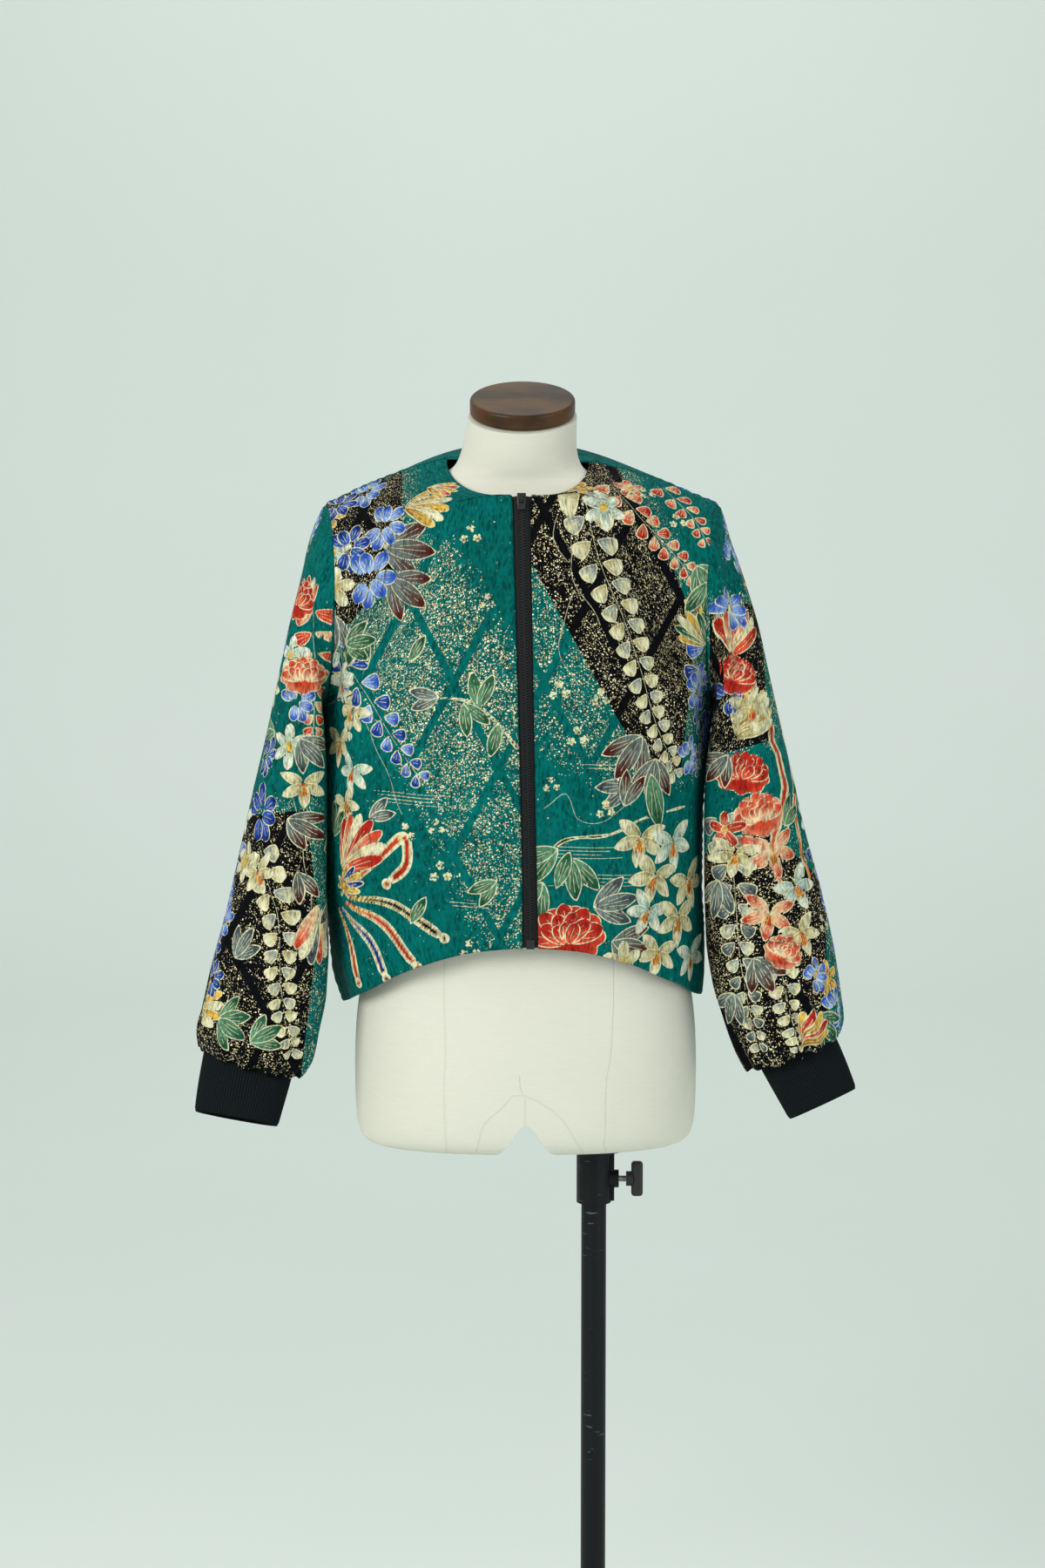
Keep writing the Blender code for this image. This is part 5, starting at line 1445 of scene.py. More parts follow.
def creases(name, points, normals):
    """The sum of a piece's listed creases."""
    height = np.zeros(points.shape[:-1])
    for places, wide, deep, facing in CREASES[name]:
        seen = picture_of(points, facing)
        knots = np.array(places, float)
        nearest = np.full(height.shape, np.inf)
        share = np.zeros(height.shape)
        for k, (a, b) in enumerate(zip(knots[:-1], knots[1:])):
            step = b - a
            t = np.clip(((seen - a) @ step) / (step @ step), 0, 1)
            gap = length_of(seen - a - t[..., None] * step)
            share = np.where(gap < nearest, (k + t) / (len(knots) - 1), share)
            nearest = np.minimum(nearest, gap)
        taper = ease(0.0, 0.25, share) * (1 - ease(0.7, 1.0, share)) + 0.12
        facing_it = ease(0.0, 0.35, normals[..., 1] * facing)
        height += deep * MM * taper * facing_it * np.exp(-(nearest * PIXEL / (wide * MM)) ** 2)
    return height


def run(points, axis):
    """How far each point of a grid lies from its first row or column, and the whole length."""
    steps = length_of(np.diff(points, axis=axis))
    reach = np.concatenate((np.zeros_like(np.take(steps, [0], axis)), np.cumsum(steps, axis)), axis)
    return reach, np.take(reach, [-1], axis)


def seam_at(gap, along):
    """The puff and the puckers beside a seam; the seam's own line stays where it is."""
    ripples = np.sin(along / (1.7 * MM) + 2.2 * np.sin(along / (11 * MM)))
    beside = (1 - np.exp(-(gap / (2.0 * MM)) ** 2)) * np.exp(-(gap / (12 * MM)) ** 2)
    return (SEAM_PUFF + PUCKER * ripples) * beside


def edge_at(gap):
    return -EDGE_CURL * np.exp(-(gap / (1.6 * MM)) ** 2)


def calm(gap):
    """0 on a seam and 1 well away from it, so that folds die out before they reach it."""
    return ease(0, CALM_REACH, gap)


def slow_waves(u, v, seed):
    """Gentle unevenness all over, from a few sines."""
    total = 0.0
    for k in range(1, 5):
        sideways = np.sin(7.1 * k * u + 2.3 * seed * k + 3.0 * v)
        upwards = np.sin(5.3 * k * v + 1.7 * seed + k)
        total = total + sideways * upwards / k
    return 0.7 * MM * total


# %% [markdown]
# ## The two fronts and the back

# %% Fronts and back
CLOTH_WALL = 1.1 * MM
FRONT_GRID = (116, 284)
BACK_GRID = (172, 252)
SLEEVE_GRID = (154, 258)
PLAN = {
    # piece: how wide and long its UV map is, in metres, which scales the crinkles and flecks
    "front": (0.24, 0.50),
    "back": (0.47, 0.56),
    "sleeve": (0.32, 0.54),
}


def front_place(side):
    def place(u, v):
        return panel_point(side, 1 - u if side == "right" else u, v, -1)
    return place


def front_folds(side):
    def folds(points, normals, u, v):
        across, wide = run(points, 1)
        up, tall = run(points, 0)
        from_zip, from_side = (wide - across, across) if side == "right" else (across, wide - across)
        centre = 1 - u if side == "right" else u
        waves = slow_waves(u, v, 1 if side == "right" else 2)
        height = creases(f"front_{side}", points, normals) * FRONT_CREASES + waves * FRONT_WAVES
        height = height * calm(from_zip) * calm(from_side) * calm(tall - up)
        start = 1.0 if side == "right" else 2.4
        hem = (1 - ease(0, 75 * MM, up)) * ease(0.06, 0.2, centre) * (1 - ease(0.9, 1.0, centre))
        height += FRONT_HEM_WAVE * hem * np.sin(19 * centre + start)
        return height + edge_at(from_zip) + edge_at(up) + seam_at(from_side, up) + seam_at(tall - up, across)
    return folds


def back_place(u, v):
    """Both halves of the back in one grid: u runs from the wearer's left to the right."""
    left = panel_point("left", np.clip(1 - 2 * u, 0, 1), v, 1)
    right = panel_point("right", np.clip(2 * u - 1, 0, 1), v, 1)
    return np.where((u < 0.5)[..., None], left, right)


def back_folds(points, normals, u, v):
    across, wide = run(points, 1)
    up, tall = run(points, 0)
    height = creases("back", points, normals) + slow_waves(u, v, 3)
    height += BACK_HEM_WAVE * (1 - ease(0, 90 * MM, up)) * np.sin(31 * u + 0.7)
    height = height * calm(across) * calm(wide - across) * calm(tall - up)
    height = height + edge_at(up) + seam_at(across, up)
    return height + seam_at(wide - across, up) + seam_at(tall - up, across)


def triangles_of(mesh):
    return sum(len(p.vertices) - 2 for p in mesh.polygons)


def finish_cloth(name, mesh, cad_node, layouts):
    """Paints a shell, gives it its wall and puts it in the scene."""
    canvas = Canvas(mesh)
    lay_ground(canvas, layouts)
    for facing, names in layouts.items():
        for layout in names:
            paint(canvas, layout, facing)
    canvas.store()
    piece = show(name, mesh, "form", "printed_crepe", CREPE, CREPE_INSIDE)
    give_wall(piece, CLOTH_WALL, 1)
    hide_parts(cad_node)
    area = sum(p.area for p in mesh.polygons)
    print(name, "area", round(area, 4), "m2,", 2 * triangles_of(mesh), "triangles")


for side in SIDES:
    name = f"front_{side}_cloth"
    shell = shape_grid(name, *FRONT_GRID, front_place(side), front_folds(side), PLAN["front"])
    finish_cloth(name, shell, f"jacket_front_{side}", {-1: [f"front_{side}"]})

shell = shape_grid("back_cloth", *BACK_GRID, back_place, back_folds, PLAN["back"])
finish_cloth("back_cloth", shell, "jacket_back", {1: ["front_right", "front_left"]})

# %% [markdown]
# ## The sleeves
#
# Each sleeve is a rolled grid. Its first and last columns meet along the inner arm, where the real
# seam runs, and are merged. Thirteen uneven gathers start above the cuff seam and die out on it.

# %% Sleeves
GATHER_RAMP = (0.0, 0.80, 0.88, 0.95, 0.982, 1.0)
GATHER_HEIGHT = (0.0, 0.0, 0.35, 0.95, 1.0, 0.0)


def sleeve_angle(side, u):
    return math.pi + 2 * math.pi * (u if side == "right" else 1 - u)


def sleeve_place(side):
    def place(u, v):
        return sleeve_point(side, sleeve_angle(side, u), 1 - v)
    return place


def sleeve_folds(side):
    seed = 1.0 if side == "right" else 2.7

    def folds(points, normals, u, v):
        up, tall = run(points, 0)
        down = 1 - v
        angle = sleeve_angle(side, u)
        height = creases(f"sleeve_{side}", points, normals)
        height = (height + slow_waves(np.cos(angle), v, seed)) * calm(tall - up)
        uneven = GATHER_COUNT * angle + 0.9 * np.sin(2 * angle + seed) + 0.5 * np.sin(5 * angle)
        strength = 0.72 + 0.28 * np.cos(3 * angle + seed)
        ragged = down + 0.012 * np.sin(4 * angle + seed) * (down < 0.98)
        ramp = curve_through(ragged, GATHER_RAMP, GATHER_HEIGHT)
        height += GATHER_DEPTH * ramp * strength * np.cos(uneven) * (1 - ease(0.985, 1.0, down))
        return height + seam_at(tall - up, angle * 90 * MM)
    return folds


OTHER = {"right": "left", "left": "right"}
for side in SIDES:
    name = f"sleeve_{side}_cloth"
    shell = shape_grid(name, *SLEEVE_GRID, sleeve_place(side), sleeve_folds(side), PLAN["sleeve"])
    close_tube(shell)
    layouts = {-1: [f"sleeve_{side}"], 1: [f"sleeve_{OTHER[side]}"]}
    finish_cloth(name, shell, f"sleeve_{side}", layouts)

# %% [markdown]
# ## Rib cuffs
#
# A one-and-one rib is a row of rounded cords with narrow valleys. Here the cords are real, ninety-six
# round each cuff, swelling a little in the middle where the cuff stretches. Knit loops are only
# bump and painted shade: they are far smaller than a step of the mesh. The colour is lighter on the
# crests of the cords, a painted sheen.

# %% Cuffs
RIBS = 96
CUFF_GRID = (RIBS * 5, 20)
CUFF_RIB_RISE = 0.75 * MM
CUFF_ROUND = 0.24
KNIT_WALL = 1.6 * MM


def cuff_place(side):
    def place(u, v):
        angle = sleeve_angle(side, u)
        below = (CUFF_LONG + 3 * MM) * (1 - v) - 3 * MM
        bulge = 0.6 * MM * np.sin(np.pi * v) + 0.35 * MM * np.sin(3 * angle + 4 * v)
        rib = CUFF_RIB_RISE * np.abs(np.cos(RIBS / 2 * angle)) ** 0.8
        rolled = 1.1 * MM * (np.exp(-((1 - v) / 0.03) ** 2) + np.exp(-(v / 0.03) ** 2))
        return cuff_point(side, angle, below, bulge + rib - rolled)
    return place


def knit(name):
    f = Finish(name, roughness=0.9, Specular_IOR_Level=0.12)
    cloth = f.cloth()
    across, along, _ = f.parts(cloth)
    loops = ((along * 2900.0) + ((across * 1250.0).wave() * 1.4)).wave() * 0.5 + 0.5
    fuzz = f.noise(cloth, 1400.0, 2.0)
    # painted sheen: the yarn's colour is lighter on the crest of each cord
    crest_sheen = abs((across * (RIBS * math.pi / CUFF_ROUND) + math.pi / 2).wave())
    yarn_and_crest_sheen = f.mix(crest_sheen, (*dye("000102"), 1), (*dye("131A1D"), 1))
    # painted shade: the loops' height lightens the colour on their tops
    f.feed("Base Color", f.tint(yarn_and_crest_sheen, 0.70 + loops * 0.3 + fuzz * 0.5))
    f.bump((loops, 0.25 * MM), (fuzz, 0.2 * MM))
    return f


RIB_KNIT = knit("black rib knit")
for side in SIDES:
    name = f"cuff_{side}_knit"
    shell = shape_grid(name, *CUFF_GRID, cuff_place(side), no_folds, (CUFF_ROUND, CUFF_LONG))
    close_tube(shell)
    piece = show(name, shell, "form", "black_rib", RIB_KNIT)
    give_wall(piece, KNIT_WALL)
    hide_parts(f"cuff_{side}")
    print("cuff", side, triangles_of(shell), "triangles a side")

# %% [markdown]
# ## The dress form
#
# The form is a hard shell covered in linen. Its levels come from the same table as the solid's, and
# a grid rolled round them gives a smooth body. The arch between the stumps of the legs is cut with
# a Boolean, as in the part. The cover's seams are painted as distances too: two princess seams,
# two arches over the stumps and the joint at the foot of the neck.

# %% Sizes of the form
FORM_BOTTOM_Z = 0.680
SECTION_POWER = 2.3
CAP_R = 50.5 * MM
CAP_THICK = 16 * MM
CAP_TOP = Vector((-0.003, 0.0, 1.402))
CAP_TILT = math.radians(18.5)

FORM_COLUMNS = ("z", "middle_x", "half", "front", "back", "slope")
FORM = (
    (0.6800, 0.000, 0.1490, 0.0740, 0.0840, 0.000),
    (0.6835, 0.000, 0.1560, 0.0840, 0.0930, 0.000),
    (0.6900, 0.000, 0.1615, 0.0915, 0.1000, 0.000),
    (0.7020, 0.000, 0.1645, 0.0970, 0.1060, 0.000),
    (0.7220, 0.000, 0.1660, 0.1005, 0.1100, 0.000),
    (0.7550, 0.000, 0.1665, 0.1030, 0.1120, 0.000),
    (0.7900, 0.000, 0.1655, 0.1040, 0.1110, 0.000),
    (0.8250, 0.000, 0.1620, 0.1040, 0.1080, 0.000),
    (0.8600, 0.000, 0.1530, 0.1010, 0.1020, 0.000),
    (0.9000, 0.000, 0.1410, 0.0950, 0.0930, 0.000),
    (0.9450, -0.001, 0.1270, 0.0870, 0.0820, 0.000),
    (1.0000, -0.002, 0.1150, 0.0800, 0.0720, 0.000),
    (1.0550, -0.003, 0.1180, 0.0870, 0.0790, 0.000),
    (1.1000, -0.003, 0.1270, 0.1000, 0.0870, 0.000),
    (1.1400, -0.003, 0.1350, 0.1120, 0.0920, 0.000),
    (1.1750, -0.003, 0.1430, 0.1120, 0.0960, 0.000),
    (1.2100, -0.003, 0.1510, 0.1010, 0.0970, 0.000),
    (1.2450, -0.003, 0.1590, 0.0870, 0.0930, 0.000),
    (1.2720, -0.003, 0.1620, 0.0780, 0.0850, 0.000),
    (1.2900, -0.003, 0.1530, 0.0700, 0.0770, 0.000),
    (1.3050, -0.004, 0.1280, 0.0620, 0.0700, 0.000),
    (1.3182, -0.006, 0.0972, 0.0513, 0.0610, 0.000),
    (1.3290, -0.008, 0.0722, 0.0465, 0.0560, 0.020),
    (1.3390, -0.007, 0.0600, 0.0475, 0.0530, 0.060),
    (1.3540, -0.006, 0.0550, 0.0480, 0.0520, 0.150),
    (1.3846, -0.003, 0.0520, 0.0470, 0.0560, 0.335),
)

# %% The form's body
FORM_GRID = (132, 150)
NOTCH_WIDE = 70 * MM
NOTCH_TALL = 35 * MM
POLE_X = 0.067
POLE_R = 12.25 * MM
BORE_ROOM = 1.25 * MM
BORE_TOP_Z = 1.165
FORM_SEAMS = (
    # places in the picture, the way it faces, and its channel
    (((509, 700), (508, 900), (508, 1180), (509, 1240), (511, 1318)), -1, 0),
    (((700, 700), (701, 900), (702, 1180), (701, 1240), (697, 1318)), -1, 1),
    (((548, 1320), (560, 1292), (576, 1272), (593, 1262), (610, 1262), (630, 1272), (650, 1294), (666, 1320)),
     -1, 2),
    (((604, 1262), (604, 1276), (605, 1292)), -1, 3),
    (((511, 600), (508, 900), (511, 1240), (512, 1316)), 1, 0),
    (((697, 600), (700, 900), (698, 1240), (696, 1316)), 1, 1),
    (((604, 490), (604, 800), (604, 1040), (604, 1290)), 1, 3),
)


def form_place(u, v):
    """A level ring of the form, fuller than an ellipse below the neck."""
    table = np.array(FORM)
    at = v * (len(table) - 1)
    r = {name: curve_through(at, np.arange(len(table)), table[:, k]) for k, name in enumerate(FORM_COLUMNS)}
    power = 2.0 + (SECTION_POWER - 2.0) * ease(0, 1, (1.345 - r["z"]) / 0.055)
    angle = 2 * np.pi * u + np.pi / 2
    c, s = np.cos(angle), np.sin(angle)
    depth = np.where(s > 0, r["back"], r["front"])
    x = r["middle_x"] + r["half"] * np.sign(c) * np.abs(c) ** (2 / power)
    y = depth * np.sign(s) * np.abs(s) ** (2 / power)
    return xyz(x, y, r["z"] + r["slope"] * y)


def close_ends(mesh):
    bm = bmesh.new()
    bm.from_mesh(mesh)
    rim = [e for e in bm.edges if e.is_boundary]
    bmesh.ops.holes_fill(bm, edges=rim, sides=0)
    bmesh.ops.recalc_face_normals(bm, faces=bm.faces)
    bm.to_mesh(mesh)
    bm.free()


def arch_cutter():
    """The arch between the stumps, as a prism from front to back."""
    bm = bmesh.new()
    low = FORM_BOTTOM_Z - 0.03
    corners = [bm.verts.new((NOTCH_WIDE / 2, -0.2, low)), bm.verts.new((-NOTCH_WIDE / 2, -0.2, low))]
    for k in range(-16, 17):
        x = k / 16 * NOTCH_WIDE / 2
        rise = (0.5 + 0.5 * math.cos(math.pi * k / 16)) ** 1.3
        corners.append(bm.verts.new((x, -0.2, FORM_BOTTOM_Z + NOTCH_TALL * rise - 0.001)))
    face = bm.faces.new(corners)
    grown = bmesh.ops.extrude_face_region(bm, geom=[face])
    moved = [v for v in grown["geom"] if isinstance(v, bmesh.types.BMVert)]
    bmesh.ops.translate(bm, verts=moved, vec=(0.0, 0.4, 0.0))
    bmesh.ops.recalc_face_normals(bm, faces=bm.faces)
    return as_mesh(bm, "arch")


def pole_cutter(radius, top):
    bm = bmesh.new()
    bmesh.ops.create_cone(bm, cap_ends=True, segments=64, radius1=radius, radius2=radius, depth=top - 0.5)
    bmesh.ops.translate(bm, verts=bm.verts, vec=(POLE_X, 0.0, (top + 0.5) / 2))
    return as_mesh(bm, "pole hole")


def cut_away(mesh, *cutters):
    """Cuts meshes out of another and keeps the result."""
    holder = bpy.data.objects.new("holder", mesh)
    bpy.context.scene.collection.objects.link(holder)
    tools = []
    for cutter in cutters:
        tool = bpy.data.objects.new("cutter", cutter)
        bpy.context.scene.collection.objects.link(tool)
        tools.append(tool)
        cut = holder.modifiers.new("cut", "BOOLEAN")
        cut.operation = "DIFFERENCE"
        cut.object = tool
    bpy.context.view_layer.update()
    result = bpy.data.meshes.new_from_object(holder.evaluated_get(bpy.context.evaluated_depsgraph_get()))
    for leftover in [holder, *tools]:
        bpy.data.objects.remove(leftover)
    return result


def linen(name):
    f = Finish(name, Sheen_Weight=0.12, Sheen_Roughness=0.6, Specular_IOR_Level=0.25)
    place = f.place()
    x, y, z = f.parts(place)
    round_it = x.maths("ARCTAN2", y) * 0.16
    weft = (z * 5600.0).wave()
    warp = (round_it * 5200.0).wave()
    weave = (weft * warp) * 0.5 + 0.5
    slubs = f.noise(f.stretched(place, (60.0, 60.0, 900.0)), 1.0, 2.0)
    clouds = f.noise(place, 7.0, 3.0)
    _, lines = f.painted("print_lines")
    seam = 1 - f.nearest(lines).rise(0.3 * MM, 1.3 * MM)
    base = f.mix(clouds, (*dye("D8D6C7"), 1), (*dye("E2E0D3"), 1))
    # painted shade: the colour is a little darker along the seams and lighter on the weave's raised points;
    # the slubs' tint is the yarn's own tone
    shade = 0.92 + weave * 0.04 + slubs * 0.08 - seam * 0.04
    f.feed("Base Color", f.tint(base, shade))
    f.feed("Roughness", 0.86 + slubs * 0.08)
    f.bump((weave, 0.10 * MM), (slubs, 0.20 * MM), (1 - seam, 0.35 * MM))
    return f


form_mesh = shape_grid("form_body", *FORM_GRID, form_place, no_folds, (1.0, 0.75))
close_tube(form_mesh)
close_ends(form_mesh)
form_mesh = cut_away(form_mesh, arch_cutter(), pole_cutter(POLE_R + BORE_ROOM, BORE_TOP_Z))
canvas = Canvas(form_mesh)
for places, facing, channel in FORM_SEAMS:
    near, side, _, _ = canvas.beside(canvas.route(places, facing), 25 * MM)
    closer = np.abs(side) < np.abs(canvas.lines[near, channel])
    canvas.lines[near[closer], channel] = side[closer]
canvas.store()
form = show("form_body", form_mesh, "form", "linen_cover", linen("linen cover"))
form_mesh.set_sharp_from_angle(angle=math.radians(50))
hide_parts("form_torso")
print("form", triangles_of(form_mesh), "triangles")

# %% [markdown]
# ## Turned pieces
#
# The neck cap, the pole and the sleeve it slides in are turned on a lathe, so each is a profile
# of radius and height spun round an axis. A small helper spins the profile, merges the seam and
# turns the faces out.

# %% Spinning a profile
def spun(name, profile, steps=72):
    """A profile of (radius, height) places, spun round Z and closed at the axis."""
    bm = bmesh.new()
    corners = [bm.verts.new((radius, 0.0, height)) for radius, height in profile]
    edges = [bm.edges.new(pair) for pair in zip(corners[:-1], corners[1:])]
    bmesh.ops.spin(bm, geom=corners + edges, angle=2 * math.pi, steps=steps, axis=(0, 0, 1),
                   cent=(0, 0, 0), use_merge=True)
    bmesh.ops.remove_doubles(bm, verts=bm.verts, dist=0.005 * MM)
    bmesh.ops.recalc_face_normals(bm, faces=bm.faces)
    return as_mesh(bm, name)


def rounded(radius, low, high, soft, steps=5):
    """The profile of a solid drum whose edges are rounded by soft."""
    places = [(0.0, low)]
    for centre_z, start in ((low + soft, -90), (high - soft, 0)):
        for k in range(steps + 1):
            angle = math.radians(start + 90 * k / steps)
            places.append((radius - soft + soft * math.cos(angle), centre_z + soft * math.sin(angle)))
    return places + [(0.0, high)]


def wood(name):
    f = Finish(name, Coat_Weight=0.1, Coat_Roughness=0.15, Specular_IOR_Level=0.2)
    place = f.place()
    grain_place = f.stretched(place, (9.0, 95.0, 60.0), (0.3, 0.0, 0.12))
    warp = f.noise(place, 22.0, 2.0)
    _, y, _ = f.parts(grain_place)
    rings = (y + warp * 7.0).wave() * 0.5 + 0.5
    pores = f.noise(f.stretched(place, (60.0, 900.0, 500.0), (0.3, 0.0, 0.12)), 1.0, 2.0)
    streak = f.noise(grain_place, 1.0, 3.0)
    base = f.mix(rings * 0.55 + streak * 0.45, (*dye("120804"), 1), (*dye("63401F"), 1))
    f.feed("Base Color", f.tint(base, 0.68 + pores * 0.5))
    f.feed("Roughness", 0.30 + pores * 0.22)
    f.bump((pores, 0.12 * MM), (rings, 0.10 * MM))
    return f


cap_mesh = spun("neck_cap_wood", rounded(CAP_R, -CAP_THICK, 0.0, 3.6 * MM), 96)
cap_mesh.transform(Matrix.Translation(CAP_TOP) @ Matrix.Rotation(CAP_TILT, 4, "X"))
cap = show("neck_cap_wood", cap_mesh, "form", "stained_wood", wood("stained wood"))
cap_mesh.set_sharp_from_angle(angle=math.radians(40))
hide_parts("neck_cap")


def steel_paint(name):
    """Black paint with fine level scuffs where the sleeve has run up and down."""
    f = Finish(name, Specular_IOR_Level=0.18)
    place = f.place()
    specks = f.noise(place, 900.0, 2.0)
    scuffs = f.noise(f.stretched(place, (70.0, 70.0, 420.0)), 1.0, 3.0)
    worn = (scuffs - 0.66).rise(0.0, 0.05) * (f.noise(place, 14.0, 2.0) - 0.45).rise(0.0, 0.2)
    f.feed("Base Color", f.mix(worn * 0.7, (*dye("0D1214"), 1), (*dye("74797C"), 1)))
    f.feed("Roughness", 0.36 + specks * 0.14 + worn * 0.15)
    f.feed("Metallic", worn * 0.7)
    f.bump((specks, 0.05 * MM), (1 - worn, 0.04 * MM))
    return f


def coat(finish, *nodes):
    """Gives a finish to solids of the part that show as they are."""
    for node in nodes:
        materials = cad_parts[node].data.materials
        materials.clear()
        materials.append(finish.material)


PAINT = steel_paint("painted steel")
print("turned pieces ready")

# %% The pole and the clamp sleeve
pole_low, pole_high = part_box("pole")
pole_mesh = spun("pole_steel", rounded(POLE_R, pole_low.z, pole_high.z, 1 * MM), 64)
pole_mesh.transform(Matrix.Translation((POLE_X, 0, 0)))
pole = show("pole_steel", pole_mesh, "mast", "painted_steel", PAINT)
pole_mesh.set_sharp_from_angle(angle=math.radians(40))
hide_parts("pole")

coat(PAINT, "base_plate", "base_socket", "stand_sleeve")


def turned_steel(name):
    f = Finish(name, metallic=1.0)
    place = f.place()
    x, _, _ = f.parts(place)
    rings = (x * 9000.0).wave() * 0.5 + 0.5
    smear = f.noise(place, 160.0, 2.0)
    f.feed("Base Color", f.tint(dye("A9A9AB"), 0.7 + smear * 0.35))
    f.feed("Roughness", 0.26 + smear * 0.2)
    f.bump((rings, 0.12 * MM), (smear, 0.03 * MM))
    return f


def moulded_plastic(name):
    f = Finish(name, Specular_IOR_Level=0.5)
    place = f.place()
    grit = f.noise(place, 1300.0, 2.0)
    dull = f.noise(place, 60.0, 2.0)
    f.feed("Base Color", f.tint(dye("1A1A1C"), 0.8 + dull * 0.4))
    f.feed("Roughness", 0.40 + grit * 0.2)
    f.bump((grit, 0.06 * MM), (dull, 0.05 * MM))
    return f


coat(turned_steel("bright steel"), "clamp_screw")
coat(moulded_plastic("black plastic"), "clamp_knob")

# %% [markdown]
# ## The zip
#
# Two woven tapes carry moulded teeth. One tooth is a small bevelled block, and a loop lays it along
# the middle line, first on one tape and then on the other, half a pitch apart, so that the heads
# interlock.

# %% Tapes and teeth
TEETH_PITCH = 2.6 * MM
TOOTH = (4.2 * MM, 1.5 * MM, 1.2 * MM)
TOOTH_BEVEL = 0.35 * MM
TAPE_GRID = (10, 150)
TAPE_PLAN = (0.008, 0.42)
TAPE_WALL = 0.9 * MM
TAPE_SET_BACK = 0.6 * MM


def zip_place(z, across, out):
    """A point by the zip: across from its middle line, and out from the fronts' outer face."""
    step = 1 * MM
    y = -curve_through(z, PROFILE_Z, PROFILE_FRONT)
    rise = (-curve_through(z + step, PROFILE_Z, PROFILE_FRONT) - y) / step
    outward = unit(xyz(0.0, -1.0, rise))
    return xyz(curve_through(z, ZIP_Z, ZIP_X) + across, y, z) + outward * np.asarray(out)[..., None]


def tape(name):
    f = Finish(name, roughness=0.8, Specular_IOR_Level=0.3)
    cloth = f.cloth()
    across, along, _ = f.parts(cloth)
    ribs = ((along * 4200.0) + ((across * 1500.0).wave() * 2.0)).wave() * 0.5 + 0.5
    fuzz = f.noise(cloth, 900.0, 2.0)
    # painted shade: the ribs' height lightens the tape's colour on their crests
    f.feed("Base Color", f.tint(dye("101013"), 0.7 + ribs * 0.5 + fuzz * 0.2))
    f.bump((ribs, 0.18 * MM), (fuzz, 0.06 * MM))
    return f


def moulding(name):
    f = Finish(name, Specular_IOR_Level=0.6)
    place = f.place()
    rub = f.noise(place, 420.0, 2.0)
    grit = f.noise(place, 2600.0, 1.0)
    f.feed("Base Color", f.tint(dye("19191C"), 0.7 + rub * 0.6))
    f.feed("Roughness", 0.28 + rub * 0.2)
    f.feed("Metallic", rub * 0.3)
    f.bump((grit, 0.04 * MM))
    return f


TAPE = tape("zip tape")
TEETH = moulding("black zip metal")
ZIP_LOW = CENTRE_HEM_Z + 1 * MM
ZIP_HIGH = NECK_FRONT_Z - 0.5 * MM


def tape_place(side):
    sign = SIDES[side]["sign"]

    def place(u, v):
        z = ZIP_LOW + (ZIP_HIGH - ZIP_LOW) * v
        half = curve_through(z, ZIP_Z, ZIP_HALF)
        reach = 0.15 * MM + (half + 4 * MM) * (1 - u if side == "right" else u)
        under = 1.6 * MM * ease(-3.5 * MM, -0.8 * MM, reach - half)
        return zip_place(z, sign * reach, -TAPE_SET_BACK - under)
    return place


def tooth_mesh():
    bm = bmesh.new()
    bmesh.ops.create_cube(bm, size=1.0)
    bmesh.ops.scale(bm, vec=TOOTH, verts=bm.verts)
    bmesh.ops.bevel(bm, geom=bm.verts[:] + bm.edges[:], offset=TOOTH_BEVEL, segments=1,
                    affect="EDGES", profile=0.5, material=-1, offset_type="OFFSET")
    return as_mesh(bm, "tooth")


def teeth(side):
    """One side's teeth as a single mesh."""
    sign = SIDES[side]["sign"]
    tooth = tooth_mesh()
    bm = bmesh.new()
    low = CENTRE_HEM_Z + 10 * MM
    count = int((ZIP_HIGH - low) / TEETH_PITCH)
    for k in range(count):
        z = low + TEETH_PITCH * (k + (0.5 if side == "left" else 0.0))
        if z > ZIP_HIGH - 1 * MM:
            continue
        middle = Vector(zip_place(np.array(z), sign * 1.1 * MM, 0.15 * MM))
        above = Vector(zip_place(np.array(z + 2 * MM), sign * 1.1 * MM, 0.15 * MM))
        lean = -math.atan2(above[1] - middle[1], above[2] - middle[2])
        start = len(bm.verts)
        bm.from_mesh(tooth)
        bm.verts.ensure_lookup_table()
        placed = Matrix.Translation(middle) @ Matrix.Rotation(lean, 4, "X")
        bmesh.ops.transform(bm, matrix=placed, verts=bm.verts[start:])
    return as_mesh(bm, "teeth")


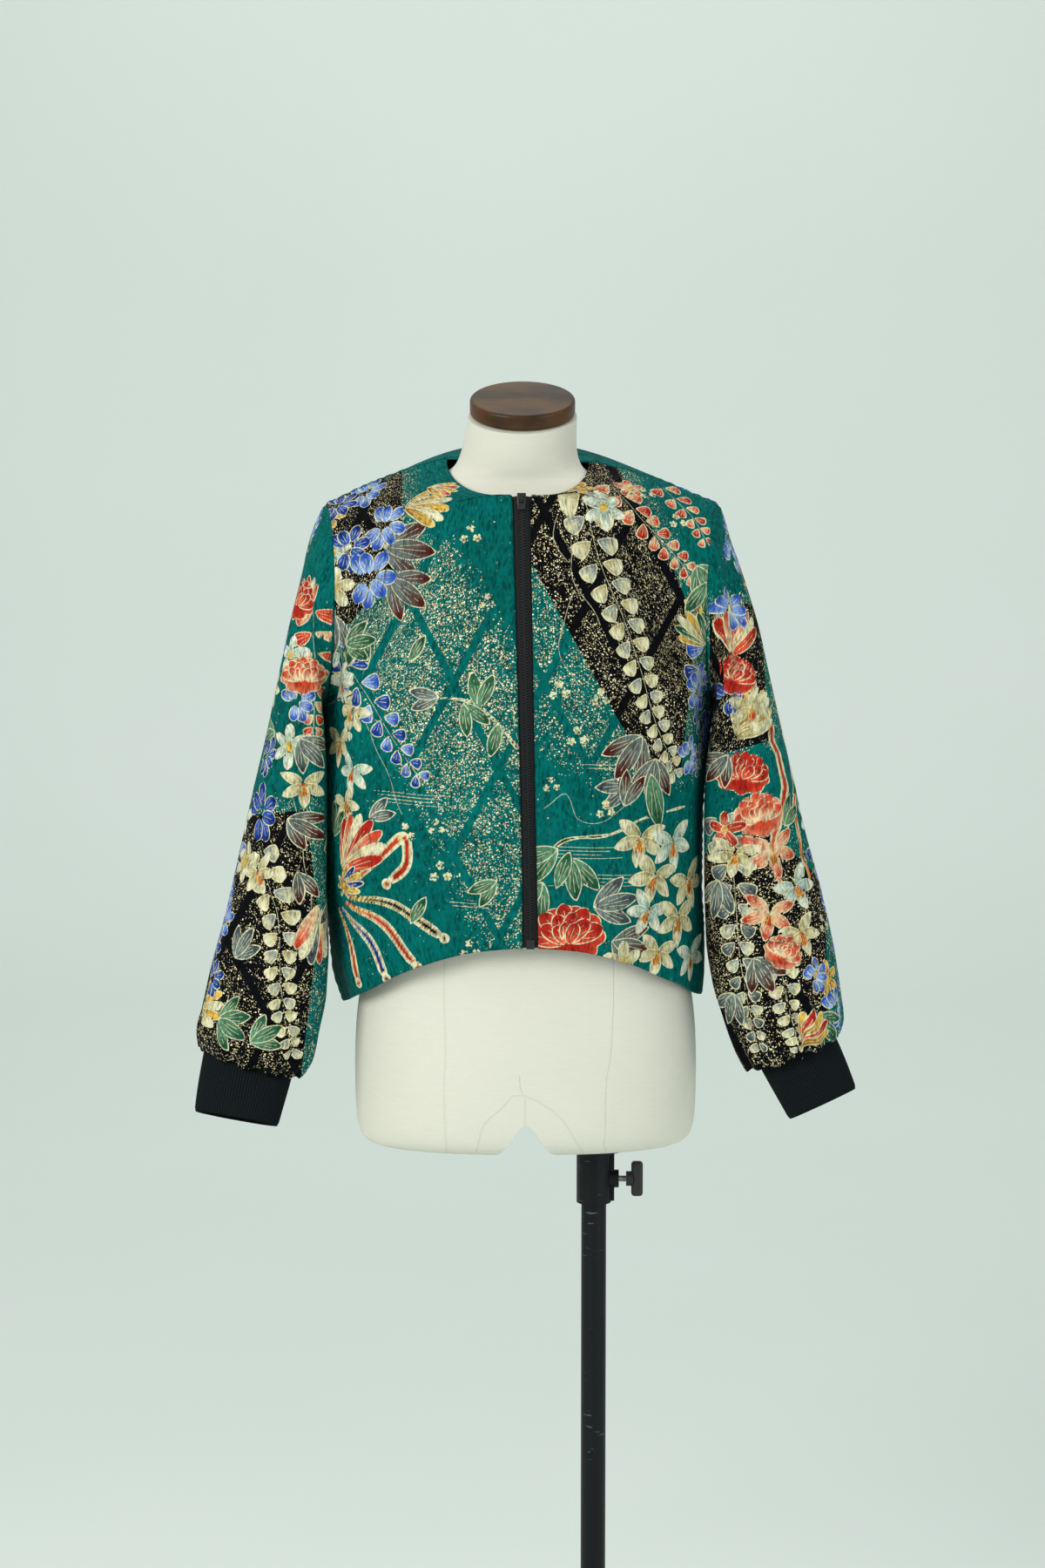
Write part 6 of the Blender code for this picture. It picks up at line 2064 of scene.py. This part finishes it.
for side in SIDES:
    name = f"zip_tape_{side}_cloth"
    strip = shape_grid(name, *TAPE_GRID, tape_place(side), no_folds, TAPE_PLAN)
    piece = show(name, strip, "form", "zip_tape", TAPE)
    give_wall(piece, TAPE_WALL)
    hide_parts(f"zip_tape_{side}")
    row = teeth(side)
    piece = show(f"zip_teeth_{side}", row, "form", "zip_metal", TEETH)
    row.set_sharp_from_angle(angle=math.radians(30))
    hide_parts(f"zip_chain_{side}")
    print("teeth", side, triangles_of(row), "triangles")

coat(TEETH, "zip_bottom_box", "zip_slider", "zip_pull_tab")

# %% [markdown]
# ## Floor and wall
#
# The floor and the wall behind are one sheet with a wide bend, so that the camera sees no corner.
# It is a stage for the picture and no piece of the object.

# %% Floor and wall
WALL_Y = 6.0
WALL_TALL = 8.0
BEND_RADIUS = 1.6
BEND_STEPS = 16
STAGE_REACH = 40.0


def add_backdrop():
    """One sheet: a floor that bends up into a wall."""
    bm = bmesh.new()
    floor_end = WALL_Y - BEND_RADIUS
    profile = [(-STAGE_REACH, 0.0), (floor_end, 0.0)]
    for k in range(1, BEND_STEPS + 1):
        a = math.pi / 2 * k / BEND_STEPS
        profile.append((floor_end + BEND_RADIUS * math.sin(a), BEND_RADIUS - BEND_RADIUS * math.cos(a)))
    profile.append((WALL_Y, WALL_TALL))
    corners = [bm.verts.new((-STAGE_REACH, y, z)) for y, z in profile]
    edges = [bm.edges.new(pair) for pair in zip(corners[:-1], corners[1:])]
    grown = bmesh.ops.extrude_edge_only(bm, edges=edges)
    moved = [v for v in grown["geom"] if isinstance(v, bmesh.types.BMVert)]
    bmesh.ops.translate(bm, verts=moved, vec=(2 * STAGE_REACH, 0.0, 0.0))
    bmesh.ops.recalc_face_normals(bm, faces=bm.faces)
    mesh = as_mesh(bm, "backdrop")
    mesh.shade_smooth()
    sheet = bpy.data.objects.new("backdrop", mesh)
    bpy.context.scene.collection.objects.link(sheet)
    wall = Finish("pale wall", roughness=0.95)
    mottle = wall.noise(wall.place(), 1.3, 2.0)
    wall.feed("Base Color", wall.mix(mottle, (*dye("E3ECE7"), 1), (*dye("E9F0EC"), 1)))
    mesh.materials.append(wall.material)


add_backdrop()
